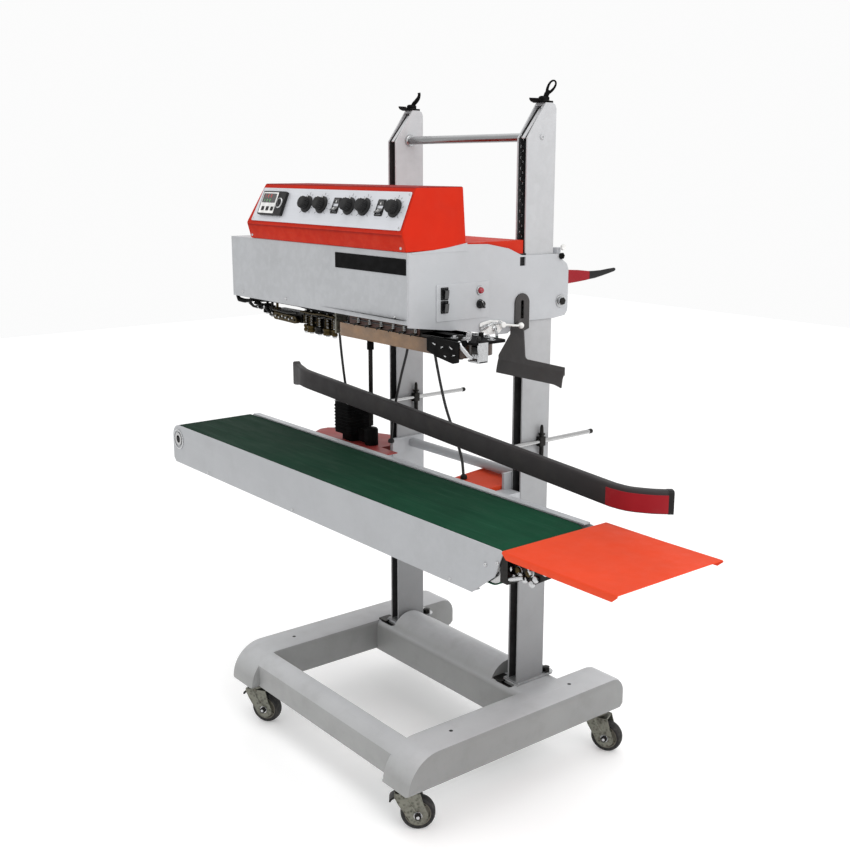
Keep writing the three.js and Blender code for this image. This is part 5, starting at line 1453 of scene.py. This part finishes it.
# release lever with its ball, and the chrome links behind it
p = Piece("release_lever_detail", "release_lever", "white_paint")
at = to(191.1, 2, 1004)
p.add(lathe([(0, 0), (6, 0), (6.3, 0.6), (6.3, 8), (5.6, 9), (0, 9.2)], 30), OFF_WHITE,
      at @ frame_at((0, 0, 0), TO_RIGHT))
p.add(tube([(6, 0, 0), (7, 16, -2), (8, 32, -4), (10, 44, -5)], [3.2, 2.6, 2.3, 2.2], 16), OFF_WHITE, at)
ball = arc(0, 0, 6.5, -90, 90, 12)
p.add(lathe([(max(r, 0), h) for r, h in ball], 28), OFF_WHITE, at @ to(10, 46, -5))
p.done(0.2, 2, replaces=["release_lever"])
p = Piece("outfeed_links", "head", "white_paint")
brk = [(-60, 1012), (-30, 1016), (4, 1012), (6, 1000), (-4, 988), (-30, 986), (-52, 992)]
p.add(yz_x(fillet(brk, 6, 4), 191.0, 193.6), OFF_WHITE)
for y, z, r in ((-46, 1003, 5.2), (-20, 998, 6.2), (-6, 1009, 3.6)):
    p.add(lathe([(0, 0), (r, 0), (r, 3), (r * 0.8, 4), (0, 4.2)], 28), STEEL,
          frame_at((193.6, y, z), TO_RIGHT))
p.add(tube([(196, -46, 1003), (199, -30, 1010), (197, -12, 1008)], 2.4, 14), STEEL)
p.add(tube([(196, -20, 998), (206, -24, 990), (214, -30, 984)], 3.0, 14), STEEL)
p.add(helix(3.6, 0.8, 2.4, 8, 0, 8, 14), STEEL, frame_at((196.5, -58, 1000), (0, 1, 0.3)))
p.done(0.3, 2)

# rear lever: red blade tapering into a black tip
p = Piece("rear_lever_detail", "rear_lever", "red_paint")
at = to(175, 177, 1088)
grip = [(2, 14, 14, 3.4), (30, 14.6, 14.6, 3.6), (60, 12.6, 12.8, 3.5), (85, 9.6, 10.8, 3.3),
        (97, 8.0, 9.2, 3.2)]
tip = [(94, 8.4, 9.6, 3.5), (112, 8.0, 8.2, 3.5), (132, 8.2, 4.8, 3.3), (158, 10.4, 0.0, 3),
       (175, 11.4, -3.6, 2.6), (178.5, 9.8, -5.6, 1.8)]


def blade(stations):
    """Flat bar along Y, from stations of (distance, height above, height below, half thickness)."""
    rows = []
    for y, up, down, half in stations:
        sec = rounded((-half, half), (-down, up), min(2.6, half * 0.8), 3)
        rows.append([Vector((q.x, y, q.y)) for q in sec])
    return skin(rows)


p.add(blade(grip), DEEP_RED, at)
p.add(blade(tip), BLACK, at)
p.add(lathe([(0, -7), (8.4, -7), (9, -6.4), (9, 6.4), (8.4, 7), (0, 7)], 36), DARK_STEEL,
      at @ frame_at((0, 0, 0), TO_RIGHT))
p.add(hexagon(10, 7, 10), STEEL, at @ frame_at((0, 0, 0), TO_RIGHT))
p.done(0.4, 2, replaces=["rear_lever"])

# ------------------------------------------------------------------ cables
CABLES = {
    "motor_cable": [(-441, 34, 1023), (-448, 34, 980), (-444, 34, 900), (-430, 36, 800), (-420, 40, 748)],
    "column_cable": [(-170, 46, 1023), (-172, 46, 960), (-182, 46, 900), (-208, 46, 830), (-236, 46, 740),
                     (-248, 46.2, 664)],
    "conveyor_cable": [(-84, 38, 1023), (-80, 38, 960), (-66, 38, 895), (-34, 38, 800), (0, 36, 740),
                       (40, 26, 690), (56, 20, 644)],
}
CABLE_R = 3.2
for node, route in CABLES.items():
    line = catmull(route, 12)
    mesh_verts, mesh_faces = tube(line, CABLE_R, 16)
    mesh = bpy.data.meshes.new(node + "_skin")
    mesh.from_pydata([tuple(place(v)) for v in mesh_verts], [], mesh_faces)
    mesh.materials.append(CABLE)
    o = bpy.data.objects.new(node + "_skin", mesh)
    bpy.context.scene.collection.objects.link(o)
    finish_surface(o, 0, 1, 40, 50)
    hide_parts(node)
    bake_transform(o)
    # glands at both ends
    for q, body, s in ((line[0], "head", -1), (line[-1], "base", 1)):
        g = Piece(node + "_gland_" + body, body, "black_plastic")
        gland = [(3.3, 0), (7.6, 0), (7.6, s * 5), (6, s * 9), (3.3, s * 10)]
        g.add(lathe(gland, 24, True), BLACK, to(*q))
        g.done(0.3, 2)

# ------------------------------------------------------------------ floor, light, camera
HALF = 7             # metres from the middle of the floor to its edges
floor_mesh = bpy.data.meshes.new("floor")
floor_mesh.from_pydata([(-HALF, -HALF, 0), (HALF, -HALF, 0), (HALF, HALF, 0), (-HALF, HALF, 0)], [],
                       [(0, 1, 2, 3)])
floor = bpy.data.objects.new("floor", floor_mesh)
bpy.context.scene.collection.objects.link(floor)
fm = Mat("floor_pale", 0.65)
fm.colour(fm.ramp(fm.noise(0.7, 2), [(0.3, (0.93, 0.93, 0.93, 1)), (0.7, (0.96, 0.96, 0.96, 1))]))
fm.b.inputs["Emission Color"].default_value = (1, 1, 1, 1)
fm.b.inputs["Emission Strength"].default_value = 0.16
floor_mesh.materials.append(fm.m)

world = bpy.data.worlds.new("studio")
bpy.context.scene.world = world
world.use_nodes = True
bg = world.node_tree.nodes["Background"]
bg.inputs["Color"].default_value = (1.0, 1.0, 1.0, 1)
bg.inputs["Strength"].default_value = 0.97


def area(name, location, target, size, power):
    """Rectangular lamp that faces its target."""
    light = bpy.data.lights.new(name, "AREA")
    light.shape = "RECTANGLE"
    light.size, light.size_y = size
    light.energy = power        # watts
    o = bpy.data.objects.new(name, light)
    o.location = location
    o.rotation_euler = (Vector(target) - Vector(location)).to_track_quat("-Z", "Y").to_euler()
    bpy.context.scene.collection.objects.link(o)


area("key", (3.0, -0.6, 2.9), (0, 0, 1.0), (1.8, 1.8), 28)
area("right", (3.0, 1.0, 2.2), (0, 0, 1.1), (1.4, 1.6), 12)
area("top", (-0.2, -0.4, 3.4), (0, 0, 0.9), (2.2, 2.2), 16)

# the camera was fitted to the photo's long straight edges
CAMERA_AT = (1.8935, -1.540, 1.321)
HEADING = (-0.7837, 0.6211)      # of its view, seen from above
PITCH = math.radians(13)         # below the horizon
cam_data = bpy.data.cameras.new("camera")
cam_data.lens = 47.647
cam_data.sensor_width = 36.0
camera = bpy.data.objects.new("camera", cam_data)
camera.location = CAMERA_AT
aim = Vector((HEADING[0] * math.cos(PITCH), HEADING[1] * math.cos(PITCH), -math.sin(PITCH)))
camera.rotation_euler = aim.to_track_quat("-Z", "Y").to_euler()
bpy.context.scene.collection.objects.link(camera)
bpy.context.scene.camera = camera
bpy.context.scene.view_settings.view_transform = "Standard"
